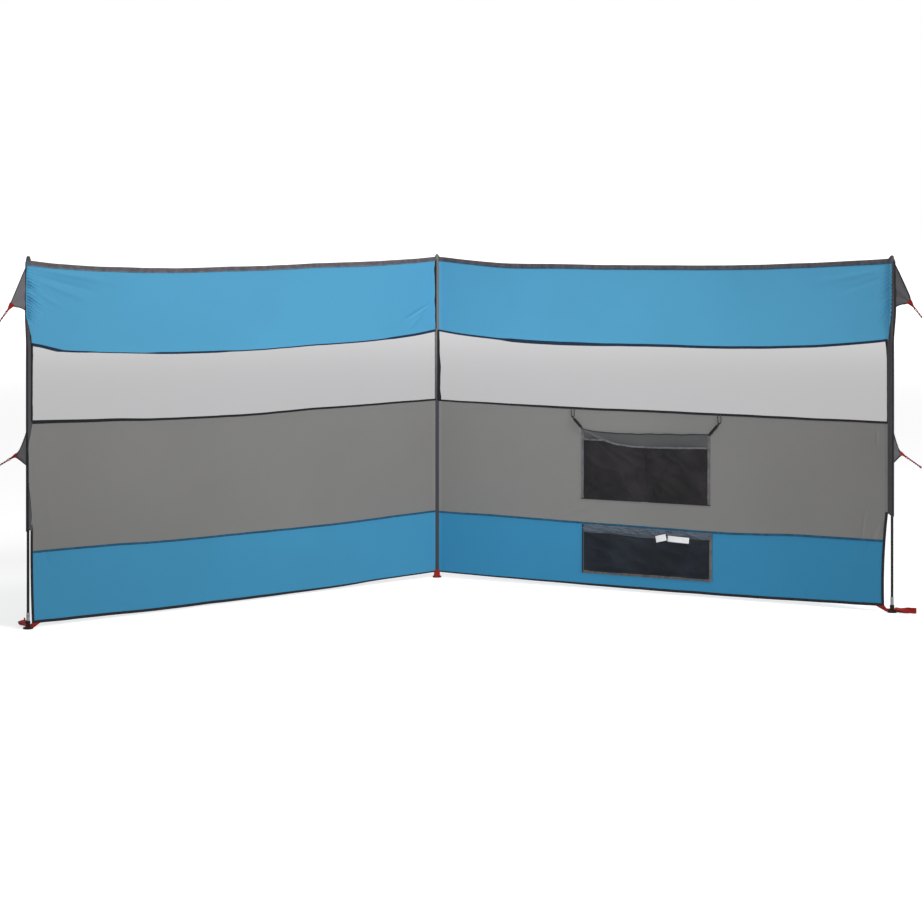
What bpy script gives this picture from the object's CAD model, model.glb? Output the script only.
from collections import namedtuple
from math import atan2, ceil, cos, exp, hypot, pi, radians, sin, sqrt

import bmesh
import bpy
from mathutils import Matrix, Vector, noise


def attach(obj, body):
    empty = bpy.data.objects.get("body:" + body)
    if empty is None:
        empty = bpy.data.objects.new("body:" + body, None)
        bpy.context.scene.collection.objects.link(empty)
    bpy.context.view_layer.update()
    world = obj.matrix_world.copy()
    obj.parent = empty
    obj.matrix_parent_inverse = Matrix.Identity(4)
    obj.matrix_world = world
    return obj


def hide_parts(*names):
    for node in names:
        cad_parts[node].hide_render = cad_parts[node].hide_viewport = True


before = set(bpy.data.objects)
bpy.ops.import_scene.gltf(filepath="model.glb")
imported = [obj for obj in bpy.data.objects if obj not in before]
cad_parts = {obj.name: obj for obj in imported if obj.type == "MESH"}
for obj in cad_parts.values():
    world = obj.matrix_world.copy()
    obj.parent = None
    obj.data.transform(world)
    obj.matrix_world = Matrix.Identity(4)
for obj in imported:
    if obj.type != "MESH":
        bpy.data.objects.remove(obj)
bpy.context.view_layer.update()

# Beach windbreak: two cloth bays between three poles, guyed at the ends, with net pockets on the right bay.
# Lengths are in metres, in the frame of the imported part: origin under the centre pole, V open towards -Y.
# Inside a bay, u runs outward from the centre pole, z is up and v is the depth in front of the cloth.

SIDES = ("left", "right")
OUTWARD = {"left": -1, "right": 1}

# Plan
BAY_LENGTH = 2.300
BAY_ANGLE = radians(35)
BAY_COS, BAY_SIN = cos(BAY_ANGLE), sin(BAY_ANGLE)
STAY_HEADING = {"upper": -BAY_ANGLE, "lower": BAY_ANGLE}
STAY_REACH = {"upper": 1.200, "lower": 1.400}
FRONT = {side: Vector((-BAY_SIN * OUTWARD[side], -BAY_COS, 0)) for side in SIDES}

# Seams: their heights at the centre pole and at each end pole, their sag between,
# and how far they waver from that line as (u, millimetres)
TOP_EDGE = {
    "centre": 1.566, "left": 1.563, "right": 1.563, "sag": 0.037, "power": 2.6,
    "waver": {
        "left": ((0.0, 0), (0.7, 8), (1.18, -1), (1.6, -8), (1.95, -8), (2.15, -7), (2.3, -2)),
        "right": ((0.0, 0), (0.33, -7), (0.7, 1), (1.5, 2), (2.0, 5), (2.3, 3)),
    },
}
WINDOW_HEAD = {
    "centre": 1.208, "left": 1.211, "right": 1.206, "sag": 0.058, "power": 3.2,
    "waver": {
        "left": ((0.0, 0), (0.7, 4), (1.18, -9), (1.95, -9), (2.13, -15), (2.26, -4), (2.3, -3)),
        "right": ((0.0, 0), (0.4, 2), (1.2, 7), (1.5, 5), (2.0, 5), (2.3, 2)),
    },
}
WINDOW_SILL = {
    "centre": 0.866, "left": 0.878, "right": 0.840, "sag": 0.012, "power": 2.0,
    "waver": {
        "left": ((0.0, 3), (0.7, 0), (1.18, -12), (1.6, -11), (1.95, -4), (2.3, -2)),
        "right": ((0.0, 0), (0.7, 4), (1.2, 8), (1.5, 8), (2.0, 4), (2.3, 0)),
    },
}
MIDDLE_FOOT = {
    "centre": 0.321, "left": 0.324, "right": 0.312, "sag": 0.010, "power": 2.0,
    "waver": {
        "left": ((0.0, 3), (0.7, -4), (1.6, -4), (1.95, 2), (2.3, 0)),
        "right": ((0.0, 0), (0.4, 4), (0.8, 2), (1.5, -3), (1.9, 7), (2.3, 3)),
    },
}
BOTTOM_EDGE = {
    "centre": 0.028, "left": 0.023, "right": 0.026, "sag": 0.008, "power": 2.0,
    "waver": {
        "left": ((0.0, 0), (0.3, 0), (0.7, -8), (1.6, -8), (2.0, -4), (2.3, -2)),
        "right": ((0.0, 0), (1.5, -3), (2.3, 0)),
    },
}

# Sleeves: the tube's radius, then where it ends, where its flap starts and half the depth of flap and tube
SLEEVE_RADIUS = {"end": 0.0082, "centre": 0.0090}
SLEEVE_FLAP = {"end": (0.0049, 0.0140, 0.0012, 0.0065), "centre": (0.0072, 0.0108, 0.0011, 0.0054)}
GUSSET_DRAG = {"left": 0.006, "right": 0.010}
SLEEVE_TIP = 1.580
SLEEVE_FOOT = 0.432
SLEEVE_END = {"left": SLEEVE_FOOT - 0.016, "right": SLEEVE_FOOT}
SLEEVE_SLANT = {"left": 0.60, "right": -0.50}
CENTRE_SLEEVE_FOOT = 0.040
END_FLAP = 0.020
CENTRE_FLAP = 0.0135
END_U = BAY_LENGTH - END_FLAP
EDGE_PULL = {"left": (0.002, 0.008), "right": (0.018, 0.016)}  # at the waist and at the lower corner
EDGE_REACH = {"left": 0.007, "right": 0.0}  # how far the free edge starts beyond the flap
WAIST_HEIGHT = 0.150
TOP_COVER_U = {"left": 2.3080, "right": 2.3015}  # outer edge of the top strip over the sleeve
MIDDLE_COVER_U = 2.3030
TOP_COVER_FOOT = 1.185  # where the top strip starts to cover it
MIDDLE_COVER_HEAD = (0.770, 0.880)  # where the left middle strip leaves it
MIDDLE_COVER_FOOT = 0.650
COVER_REACH = {"left": 0.036, "right": 0.024}  # how far the top strip falls back to its plane

# Cloth and trim
CLOTH_STEP = 0.0085
STATION_STEP = 0.006
TOP_BINDING = 0.020
BOTTOM_BINDING = 0.011
EDGE_BINDING = 0.011
STITCH_PITCH = 0.0045
THREAD = 0.00032


def clamp(value, low=0.0, high=1.0):
    return max(low, min(high, value))


def ease(value, low, high):
    """From 0 at low to 1 at high, gently at both ends."""
    share = clamp((value - low) / (high - low))
    return share * share * (3 - 2 * share)


def between(low, high, share):
    return low + (high - low) * share


def even(count, low=0.0, high=1.0):
    """Evenly spaced values from low to high."""
    return [between(low, high, index / (count - 1)) for index in range(count)]


def wander(place, scale, seed=0.0):
    """Smooth, repeatable unevenness between about -1 and 1."""
    return 2 * noise.noise(Vector((place[0] * scale, place[1] * scale, seed + 0.37)))


def stop_value(stops, place):
    """A value in metres, read between stops that are written in millimetres."""
    for (start, first), (end, second) in zip(stops, stops[1:]):
        if place <= end:
            return between(first, second, ease(place, start, end)) * 0.001
    return stops[-1][1] * 0.001


def bay_point(side, u, v, z):
    x = u * BAY_COS - v * BAY_SIN
    return Vector((x * OUTWARD[side], -u * BAY_SIN - v * BAY_COS, z))


def end_pole_point(side, inward, v, z):
    return bay_point(side, BAY_LENGTH - inward, v, z)


def seam_height(seam, side, u):
    share = clamp(u / BAY_LENGTH)
    chord = seam["centre"] + (seam[side] - seam["centre"]) * share
    sag = seam["sag"] * (1 - abs(2 * share - 1) ** seam["power"])
    return chord - sag + stop_value(seam["waver"][side], u)


def edge_pull(side, z):
    """How far the free edge of the cloth draws in below the end sleeve."""
    if z >= SLEEVE_FOOT:
        return -EDGE_REACH[side] * (1 - ease(z, SLEEVE_FOOT, SLEEVE_FOOT + 0.05))
    waist, corner = EDGE_PULL[side]
    at_waist = waist * z * (SLEEVE_FOOT - z) / (WAIST_HEIGHT * (SLEEVE_FOOT - WAIST_HEIGHT))
    at_corner = corner * (SLEEVE_FOOT - z) * (WAIST_HEIGHT - z) / (SLEEVE_FOOT * WAIST_HEIGHT)
    return at_waist + at_corner - EDGE_REACH[side]


def sleeve_half(kind, inward):
    """Half the thickness of a pole sleeve at a distance inward from the pole's axis."""
    tube_end, flap_start, flap_half, tube_half = SLEEVE_FLAP[kind]
    if inward <= tube_end:
        return sqrt(max(SLEEVE_RADIUS[kind] ** 2 - inward * inward, 0.0))
    return flap_half + (tube_half - flap_half) * (1 - ease(inward, tube_end, flap_start))


def gusset_pull(side, z):
    """How far the upper gusset drags the sleeve, and the cloth over it, out past the round of the pole."""
    rise = ease(z, 1.190, 1.345) * (1 - 0.35 * ease(z, 1.380, 1.545)) * (1 - 0.5 * ease(z, 1.550, 1.566))
    return GUSSET_DRAG[side] * rise


def sleeve_cover(side, u, z):
    """How far the cloth stands off its flat plane where it lies over a pole's sleeve."""
    if u < 0.028:
        return (sleeve_half("centre", max(u, 0.0)) + 0.0006) * (1 - ease(u, CENTRE_FLAP, 0.026))
    inward = BAY_LENGTH - u
    if inward > 0.036 or z < SLEEVE_FOOT - 0.004:
        return 0.0
    if inward < 0:
        inward /= 1 + gusset_pull(side, z) / SLEEVE_RADIUS["end"]
    flap = (sleeve_half("end", inward) + 0.0007) * (1 - ease(inward, END_FLAP + 0.0015, 0.034))
    tent = 0.0088 * (1 - ease(inward, 0.003, COVER_REACH[side])) if inward > 0 else flap
    over = ease(z, TOP_COVER_FOOT, 1.225)
    if side == "left":
        over += (1 - ease(z, *MIDDLE_COVER_HEAD)) * ease(z, SLEEVE_FOOT + 0.010, MIDDLE_COVER_FOOT)
    return between(flap, max(flap, tent), over) * ease(z, SLEEVE_FOOT - 0.004, SLEEVE_FOOT + 0.012)


# Creases: start (u, z), slope in degrees, then length, width and height in millimetres.
# They run inward and down from their start, or the way their slope says.
SEWN_CREASES = {
    "left": [(2.300, 1.322, 47, 60, 6, 3.5), (2.298, 1.292, 52, 70, 7, 3.2), (2.296, 1.248, 58, 50, 6, 2.6)],
    "right": [(2.298, 1.3, 50, 55, 6, 3.6), (2.296, 1.268, 54, 60, 7, 3.4), (2.294, 1.232, 60, 48, 6, 2.8)],
}
LOOSE_CREASES = {
    "left": [
        (0.045, 1.336, 155, 190, 6, -4.6), (0.080, 1.300, 140, 130, 5, 4.0),
        (0.060, 1.322, 150, 110, 4, 3.0), (2.232, 0.860, 90, 90, 5, 2.2), (2.072, 0.852, 88, 70, 5, 1.6),
        (1.832, 0.845, 91, 75, 5, 1.4), (2.262, 0.300, 75, 90, 6, 1.8), (2.270, 1.525, 9, 420, 13, 4.2),
        (2.275, 1.5, 14, 360, 11, -3.6), (2.270, 1.480, 19, 300, 12, 3.4), (2.180, 1.545, 6, 500, 12, -3.0),
        (2.285, 1.440, 28, 200, 9, 2.6), (2.240, 0.380, 70, 180, 12, -2.2), (2.220, 0.620, 82, 240, 14, 2.0),
    ],
    "right": [
        (0.640, 0.440, -148, 250, 10, -2.0), (0.700, 0.400, -150, 220, 9, 1.8),
        (0.560, 0.470, -144, 200, 12, 1.4), (0.730, 0.305, -162, 180, 8, 1.4),
        (1.760, 0.700, 35, 260, 16, -1.8),
        (2.230, 0.820, 90, 90, 5, 1.8), (2.180, 0.470, 82, 180, 7, 1.6), (2.270, 1.520, 12, 340, 13, 3.4),
        (2.275, 1.490, 20, 260, 11, -3.0), (2.240, 0.380, 62, 150, 9, 2.4), (2.265, 0.420, 70, 120, 7, -2.2),
        (0.760, 0.860, -130, 150, 10, 1.8), (1.500, 0.800, 28, 240, 13, 1.8),
        (0.870, 0.410, 20, 240, 10, 1.8),
    ],
}
# Fan where the gusset pulls at the sleeve: count, spacing, seed, slope in degrees (first, each next,
# uneven), reaches and heights in millimetres (least, more with strength), and how the reach varies
CREASE_FAN = {
    "left": (19, 0.0126, 5.0, (10, 1.6, 5), (40, 66), (4.0, 4.0), 0.8),
    "right": (14, 0.0168, 9.0, (20, 3.0, 7), (48, 60), (5.0, 6.6), 1.0),
}


def fan_of_creases(side):
    """Short creases that leave the upper sleeve where the gusset pulls at it."""
    count, spacing, seed, (first, turn, vary), (reach, longer), (height, higher), steady = CREASE_FAN[side]
    creases = []
    for index in range(count):
        z = 1.540 - spacing * index
        uneven = wander((index * 0.71, 3.0), 0.61, seed)
        strength = exp(-((z - 1.405) / 0.085) ** 2)
        slope = first + turn * index + vary * uneven
        length = reach + longer * strength * (steady + 0.6 * uneven)
        creases.append((2.3080, z, slope, length, 3.6, (height + higher * strength) * (1 + 0.5 * uneven)))
    return creases


for side in SIDES:
    SEWN_CREASES[side] = fan_of_creases(side) + SEWN_CREASES[side]


def crease_depth(crease, u, z, sewn):
    """One crease's share of the cloth's depth. A sewn crease is deepest at its start."""
    start_u, start_z, slope, length, width, height = crease
    slope, length = radians(slope), length * 0.001
    along_u, along_z = -cos(slope), -sin(slope)
    from_u, from_z = u - start_u, z - start_z
    along = from_u * along_u + from_z * along_z
    if not 0.0 < along < length:
        return 0.0
    share = along / length
    across = (from_z * along_u - from_u * along_z) / (width * 0.001 * (0.7 + 0.6 * share))
    if abs(across) > 2.6:
        return 0.0
    fade = (1 - share) ** 1.3 * ease(along, -0.001, 0.003) if sewn else sin(pi * share)
    return height * 0.001 * fade * exp(-across ** 2)


BELLY = {"left": -0.013, "right": -0.009}
SLACK_SEED = {"left": 2.0, "right": 7.0}


def cloth_depth(side, u, z):
    """How far the set-up cloth stands in front of its flat plane."""
    foot = seam_height(BOTTOM_EDGE, side, u)
    rise = clamp((z - foot) / (seam_height(TOP_EDGE, side, u) - foot))
    held = sin(pi * clamp(u / BAY_LENGTH))
    depth = BELLY[side] * held * sin(pi * rise) ** 0.8
    depth += 0.0016 * held * wander((u, z * 0.6), 3.1, SLACK_SEED[side])
    for seam in (WINDOW_HEAD, WINDOW_SILL, MIDDLE_FOOT):
        away = abs(z - seam_height(seam, side, u))
        if away < 0.05:
            gather = sin(2 * pi * u / 0.019 + 3 * wander((u, 0.0), 4.0, seam["sag"] * 90))
            depth += 0.0005 * held ** 0.4 * gather * exp(-away / 0.011)
            depth += 0.0012 * exp(-((away / 0.016) ** 2)) * held ** 0.5
    depth += sum(crease_depth(crease, u, z, True) for crease in SEWN_CREASES[side])
    return depth + sum(crease_depth(crease, u, z, False) for crease in LOOSE_CREASES[side])


def on_cloth(side, u, z, lift=0.0):
    """A point that lies on a bay's cloth, or that far in front of it."""
    return bay_point(side, u, cloth_depth(side, u, z) + sleeve_cover(side, u, z) + lift, z)


def tube_rows(path, radius, sides, braid=0.0):
    """Rings round a path; braid raises the strands that cross on a plaited line."""
    rows = []
    aside = None
    travelled = 0.0
    for index, point in enumerate(path):
        before, after = path[max(index - 1, 0)], path[min(index + 1, len(path) - 1)]
        along = (after - before).normalized()
        aside = aside or along.orthogonal()
        aside = (aside - along * aside.dot(along)).normalized()
        other = along.cross(aside)
        travelled += (point - before).length
        ring = []
        for step in range(sides):
            angle = step * 2 * pi / sides
            plait = sin(2 * angle + travelled * 2 * pi / 0.009) * sin(2 * angle - travelled * 2 * pi / 0.009)
            size = (radius[index] if isinstance(radius, list) else radius) * (1 + braid * plait)
            ring.append(point + aside * (size * cos(angle)) + other * (size * sin(angle)))
        rows.append(ring)
    return rows


class Piece:
    """Points and faces of one piece while it is being made."""

    def __init__(self):
        self.points = []
        self.faces = []
        self.finish = []

    def face(self, corners, finish=0):
        self.faces.append(tuple(corners))
        self.finish.append(finish)

    def skin(self, rows, finish=0, ring=False, loop=False):
        """Joins rows of points: ring closes each row and loop joins last to first."""
        start, across = len(self.points), len(rows[0])
        for row in rows:
            self.points.extend(row)
        for index in range(len(rows) if loop else len(rows) - 1):
            here, there = start + index * across, start + (index + 1) % len(rows) * across
            for step in range(across if ring else across - 1):
                beside = (step + 1) % across
                self.face((here + step, here + beside, there + beside, there + step), finish)
        return self

    def solid(self, rows, finish=0):
        """Closed rings of points with both ends filled."""
        start, across = len(self.points), len(rows[0])
        self.skin(rows, finish, ring=True)
        self.face([start + step for step in reversed(range(across))], finish)
        self.face([len(self.points) - across + step for step in range(across)], finish)
        return self

    def tube(self, path, radius, sides=10, braid=0.10, finish=0):
        return self.solid(tube_rows(path, radius, sides, braid), finish)

    def stitch(self, middle, along, out, length, finish):
        """One stitch of thread: a slim double-pointed bead."""
        along = along.normalized() * length / 2
        out = out.normalized()
        aside = along.cross(out).normalized() * THREAD
        out = out * THREAD
        start = len(self.points)
        self.points += [middle + way for way in (-along, aside, out, -aside, -out, along)]
        for step in range(4):
            beside = (step + 1) % 4
            self.face((start, start + 1 + beside, start + 1 + step), finish)
            self.face((start + 5, start + 1 + step, start + 1 + beside), finish)

    def stitches(self, line, out, pitch=STITCH_PITCH, finish=1):
        """A row of stitches along a line of points, standing out of the face whose outward way is given."""
        carried = 0.0
        for start, end in zip(line, line[1:]):
            gap = end - start
            while carried < gap.length:
                self.stitch(start + gap * (carried / gap.length), gap, out, pitch * 0.72, finish)
                carried += pitch
            carried -= gap.length
        return self

    def made(self, name, finishes, slot, stands_for=None, smooth=38, thickness=0.0):
        """The finished piece, riding on the part's one body; a single sheet gets its real thickness."""
        shape = bmesh.new()
        corners = [shape.verts.new(point) for point in self.points]
        for indices, finish in zip(self.faces, self.finish):
            face = shape.faces.new([corners[index] for index in indices])
            face.material_index = finish
            face.smooth = True
        bmesh.ops.remove_doubles(shape, verts=shape.verts, dist=0.00002)
        bmesh.ops.recalc_face_normals(shape, faces=shape.faces)
        mesh = bpy.data.meshes.new(name)
        shape.to_mesh(mesh)
        shape.free()
        mesh.set_sharp_from_angle(angle=radians(smooth))
        for finish in finishes:
            mesh.materials.append(finish)
        piece = bpy.data.objects.new(name, mesh)
        bpy.context.collection.objects.link(piece)
        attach(piece, "root")
        if stands_for:
            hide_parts(stands_for)
        if thickness:
            modifier = piece.modifiers.new("thickness", "SOLIDIFY")
            modifier.thickness = thickness
            modifier.offset = 0.0
        return piece


# Finishes


class Value:
    """A number or vector in a shader. Each operator adds the Math node that it stands for."""

    def __init__(self, nodes, socket):
        self.nodes, self.socket = nodes, socket

    def __add__(self, other):
        return self.nodes.maths("ADD", self, other)

    def __sub__(self, other):
        return self.nodes.maths("SUBTRACT", self, other)

    def __rsub__(self, other):
        return self.nodes.maths("SUBTRACT", other, self)

    def __mul__(self, other):
        return self.nodes.maths("MULTIPLY", self, other)

    def __abs__(self):
        return self.nodes.maths("ABSOLUTE", self)

    __radd__, __rmul__ = __add__, __mul__

    def wave(self, pitch):
        """A sine of this length, from 0 to 1."""
        return self.nodes.maths("SINE", self * (2 * pi / pitch)) * 0.5 + 0.5

    def step(self, low, high):
        """0 below low, 1 above high, smooth between."""
        sockets = {"Value": self, "From Min": low, "From Max": high}
        return self.nodes.output("MapRange", {"interpolation_type": "SMOOTHSTEP"}, sockets)


class Nodes:
    """The node tree of a finish or of the room."""

    def __init__(self, owner):
        owner.use_nodes = True
        self.tree = owner.node_tree
        self.tree.nodes.clear()

    def add(self, kind, settings={}, sockets={}):
        """Any node: its settings first, then the values and links of its sockets."""
        node = self.tree.nodes.new("ShaderNode" + kind)
        for name, value in settings.items():
            setattr(node, name, value)
        for name, value in sockets.items():
            if isinstance(value, Value):
                self.tree.links.new(value.socket, node.inputs[name])
            else:
                node.inputs[name].default_value = value
        return node

    def output(self, kind, settings={}, sockets={}, socket=0):
        """What such a node gives out."""
        return Value(self, self.add(kind, settings, sockets).outputs[socket])

    def maths(self, operation, *terms):
        return self.output("Math", {"operation": operation}, dict(enumerate(terms)))

    def seen_white(self):
        """1 where the eye, a reflection or a see-through surface meets it, 0 for its light on the object."""
        rays = self.add("LightPath").outputs
        kinds = [Value(self, rays[f"Is {kind} Ray"]) for kind in ("Camera", "Glossy", "Transmission")]
        return self.maths("MINIMUM", sum(kinds), 1.0)


class Finish(Nodes):
    """A material while its nodes are laid out."""

    def __init__(self, name):
        self.material = bpy.data.materials.new(name)
        super().__init__(self.material)
        self.place = self.output("TexCoord", socket="Object")
        axes = self.add("SeparateXYZ", {}, {"Vector": self.place}).outputs
        self.x, self.y, self.z = (Value(self, axes[axis]) for axis in "XYZ")

    @property
    def run(self):
        """u: the distance along either bay."""
        return abs(self.x) * BAY_COS - self.y * BAY_SIN

    def cloudy(self, scale, detail=3.0, rough=0.5, stretch=(1, 1, 1)):
        """Soft noise from 0 to 1."""
        place = self.output("Mapping", {}, {"Vector": self.place, "Scale": stretch})
        sockets = {"Vector": place, "Scale": scale, "Detail": detail, "Roughness": rough}
        return self.output("TexNoise", {}, sockets, "Fac")

    def mixed(self, first, second, share):
        """Two colours mixed by a share that changes over the surface."""
        first, second = (tone if isinstance(tone, Value) else (*tone, 1) for tone in (first, second))
        return self.output("Mix", {"data_type": "RGBA"}, {0: share, 6: first, 7: second}, 2)

    def surface(self, tone, roughness, gloss, relief=None, **others):
        """The shader itself. Relief is its height, depth and strength; other sockets go by their names."""
        sockets = {"Base Color": tone, "Roughness": roughness, "Specular IOR Level": gloss}
        if relief:
            height, depth, strength = relief
            bump = {"Height": height, "Distance": depth, "Strength": strength}
            sockets["Normal"] = self.output("Bump", {}, bump)
        sockets.update({name.replace("_", " ").title(): value for name, value in others.items()})
        self.add("OutputMaterial", {}, {"Surface": self.output("BsdfPrincipled", {}, sockets)})
        return self.material


def colour(red, green, blue):
    """A colour as seen on a screen, 0 to 255, as the shader's own light values."""
    return tuple((value / 255 + 0.055) ** 2.4 / 1.055 ** 2.4 if value > 10 else value / 3295
                 for value in (red, green, blue))


def shade(tone, share):
    return tuple(channel * share for channel in tone)


WEAVE = 0.0011


def woven_cloth(name, tone, gloss=0.24, sheen=0.12):
    """Fine plain-woven cloth with faint slubs and a slight unevenness of the dye."""
    finish = Finish(name)
    warp, weft = finish.run.wave(WEAVE), finish.z.wave(WEAVE)
    cloud, slub = finish.cloudy(2.2, 4.0), finish.cloudy(55, 2.0, 0.6, (1, 1, 9))
    thread = warp * (1 - weft) + weft * (1 - warp)
    share = (cloud * 0.55 + slub * 0.25 + thread * 0.20).step(0.15, 0.85)
    dye = finish.mixed(shade(tone, 0.93), shade(tone, 1.06), share)
    relief = (thread + slub * 0.5, 0.00016, 0.6)
    return finish.surface(dye, 0.74 - thread * 0.08, gloss, relief, sheen_weight=sheen, sheen_roughness=0.5)


def faded_cloth(name, low_tone, high_tone, low, high):
    """The same weave, bleached towards the top of the pole."""
    finish = Finish(name)
    weft, cloud = finish.z.wave(WEAVE), finish.cloudy(30)
    dye = finish.mixed(low_tone, high_tone, (finish.z + cloud * 0.12).step(low, high))
    relief = (weft + cloud, 0.00016, 0.6)
    return finish.surface(dye, 0.74 - weft * 0.08, 0.2, relief, sheen_weight=0.12, sheen_roughness=0.5)


def frosted_film():
    """Translucent window band, milky and slightly uneven."""
    finish = Finish("frosted_film")
    cloud, streak = finish.cloudy(1.6), finish.cloudy(14, 2.0, 0.5, (1, 1, 0.10))
    patch = (cloud * 0.8 + streak * 0.2).step(0.3, 0.7)
    milk = finish.mixed(colour(112, 109, 114), colour(120, 117, 122), patch)
    milk = finish.mixed(milk, colour(102, 99, 104), finish.z.step(0.92, 1.24) * 0.8)
    relief = (finish.cloudy(160, 2.0), 0.0002, 0.3)
    return finish.surface(milk, 0.46, 0.25, relief, alpha=0.555 + cloud * 0.04)


def ribbed_tape(name, tone, pitch=0.0016):
    """Narrow woven tape with fine ribs across it."""
    finish = Finish(name)
    rib, worn = (finish.run + finish.z * 0.7).wave(pitch), finish.cloudy(38, 4.0, 0.6)
    dye = finish.mixed(shade(tone, 0.72), shade(tone, 1.28), worn.step(0.25, 0.75))
    return finish.surface(dye, 0.80 - rib * 0.08, 0.22, (rib + worn * 0.4, 0.00025, 0.7))


def webbing_finish():
    """Red polyester webbing: a herringbone of coarse ribs, darker in its grooves and where it is soiled."""
    finish = Finish("red_webbing")
    rib = (finish.x + finish.y * 0.8 + finish.z * 0.4).wave(0.0021)
    weave = rib * (0.6 + (finish.z - finish.x * 0.3).wave(0.0030) * 0.4)
    soil = finish.cloudy(30, 4.0, 0.65)
    thread = finish.mixed(colour(104, 12, 8), colour(186, 28, 14), weave.step(0.1, 0.8))
    dyed = finish.mixed(thread, colour(74, 12, 8), (soil - 0.12).step(0.42, 0.62) * 0.55)
    return finish.surface(dyed, 0.72 - weave * 0.10, 0.28, (weave, 0.0004, 0.8))


def braided_line():
    """Thin braid of brown strands flecked with dark red."""
    finish = Finish("braided_line")
    fleck, patch = finish.cloudy(420, 2.0, 0.6), finish.cloudy(140, 2.0)
    brown = finish.mixed(colour(66, 36, 36), colour(124, 78, 74), fleck.step(0.35, 0.65))
    dyed = finish.mixed(brown, colour(140, 28, 20), patch.step(0.44, 0.54) * 0.85)
    return finish.surface(dyed, 0.74, 0.25, (fleck, 0.0003, 0.7))


def knitted_net(name, tone, pitch=0.0034):
    """Knitted net: thin diagonal bars round open cells, slightly paler in patches."""
    finish = Finish(name)
    run = finish.run
    one, other = (abs(slope.wave(pitch * 2) - 0.5) for slope in (run + finish.z, run - finish.z))
    bar = 1 - one.step(0.16, 0.30) * other.step(0.16, 0.30)
    patch = finish.cloudy(9, 3.0, 0.6).step(0.35, 0.68)
    dye = finish.mixed(shade(tone, 0.75), shade(tone, 1.75), patch)
    return finish.surface(dye, 0.78, 0.22, (bar, 0.0003, 0.6), alpha=0.46 + bar * 0.54)


def satin_black():
    """Lacquered pole: near black, with fine lengthwise drawing marks and light scuffs."""
    finish = Finish("pole_black")
    drawn = finish.cloudy(260, 2.0, 0.6, (1, 1, 0.02))
    scuff = finish.cloudy(46, 5.0, 0.7, (1, 1, 0.35)).step(0.62, 0.74)
    tone = finish.mixed(colour(12, 12, 13), colour(44, 44, 46), scuff * 0.5 + drawn * 0.1)
    return finish.surface(tone, 0.46 + scuff * 0.2 + drawn * 0.08, 0.25, (drawn, 0.00006, 0.4))


def bright_metal():
    """Bare aluminium, brushed round, a little duller where it is handled."""
    finish = Finish("bright_metal")
    brushed, dull = finish.cloudy(900, 2.0, 0.6, (0.05, 0.05, 1)), finish.cloudy(40, 4.0, 0.6)
    tone = finish.mixed(colour(104, 104, 108), colour(150, 150, 153), dull.step(0.3, 0.7))
    roughness = 0.34 + brushed * 0.16 + dull * 0.06
    return finish.surface(tone, roughness, 0.5, (brushed, 0.00008, 0.5), metallic=0.96)


def moulded_plastic():
    """Black nylon with a fine spark-eroded grain and pale scuffs on its edges."""
    finish = Finish("moulded_black")
    grain, scuff = finish.cloudy(1400, 2.0, 0.6), finish.cloudy(70, 5.0, 0.7).step(0.60, 0.75)
    tone = finish.mixed(colour(11, 11, 12), colour(40, 39, 39), scuff * 0.7)
    return finish.surface(tone, 0.55 + grain * 0.15, 0.22, (grain, 0.00012, 0.6))


def satin_tag():
    """Blank white satin label cloth."""
    finish = Finish("blank_tag")
    rib = finish.run.wave(0.0008)
    tone = finish.mixed(colour(214, 214, 216), colour(240, 240, 241), finish.cloudy(60))
    return finish.surface(tone, 0.45 + rib * 0.1, 0.35, (rib, 0.0001, 0.5))


TOP_BLUE = woven_cloth("top_blue_cloth", colour(80, 160, 200))
LOW_BLUE = {
    "left": woven_cloth("low_blue_cloth", colour(60, 142, 182)),
    "right": woven_cloth("deep_blue_cloth", colour(48, 132, 174)),
}
GAUZE = woven_cloth("blue_grey_gauze", colour(80, 90, 102), 0.3, sheen=0.3)
GREY = woven_cloth("grey_cloth", colour(126, 125, 123))
SLEEVE_CLOTH = woven_cloth("sleeve_cloth", colour(75, 72, 76), 0.2)
CENTRE_CLOTH = faded_cloth("centre_sleeve_cloth", colour(60, 61, 67), colour(118, 116, 115), 0.88, 1.27)
GUSSET_CLOTH = {
    "left": woven_cloth("gusset_cloth", colour(112, 109, 114), 0.2),
    "right": woven_cloth("shaded_gusset_cloth", colour(92, 91, 95), 0.2),
}
BACKING = woven_cloth("pocket_backing_cloth", colour(82, 82, 83), 0.2)
EDGING = ribbed_tape("edging_tape", colour(34, 34, 38))
HEAD_TAPE = {
    "left": ribbed_tape("head_tape", colour(97, 91, 95)),
    "right": ribbed_tape("shaded_head_tape", colour(84, 80, 84)),
}
FACING = {
    "left": ribbed_tape("slate_facing", colour(96, 112, 128)),
    "right": ribbed_tape("navy_facing", colour(58, 82, 106)),
}
HEM_TAPE = {
    "left": ribbed_tape("hem_tape", colour(84, 82, 86)),
    "right": ribbed_tape("shaded_hem_tape", colour(44, 43, 47)),
}
NAVY_TAPE = ribbed_tape("navy_tape", colour(26, 44, 66))
SEAM_TAPE = ribbed_tape("seam_tape", colour(24, 24, 27))
TEAL_TAPE = ribbed_tape("teal_tape", colour(38, 84, 112))
PALE_TAPE = ribbed_tape("pale_tape", colour(98, 100, 103))
MARGIN_TAPE = ribbed_tape("margin_tape", colour(102, 100, 103))
FRAME_TAPE = ribbed_tape("frame_tape", colour(98, 93, 91))
LOOP_CORD = ribbed_tape("loop_cord", colour(62, 61, 64))
DARK_THREAD = ribbed_tape("dark_thread", colour(30, 30, 34), 0.0008)
BLUE_THREAD = ribbed_tape("blue_thread", colour(44, 96, 128), 0.0008)
GREY_THREAD = ribbed_tape("grey_thread", colour(120, 118, 118), 0.0008)
RED_THREAD = ribbed_tape("red_thread", colour(196, 60, 40), 0.0008)
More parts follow.
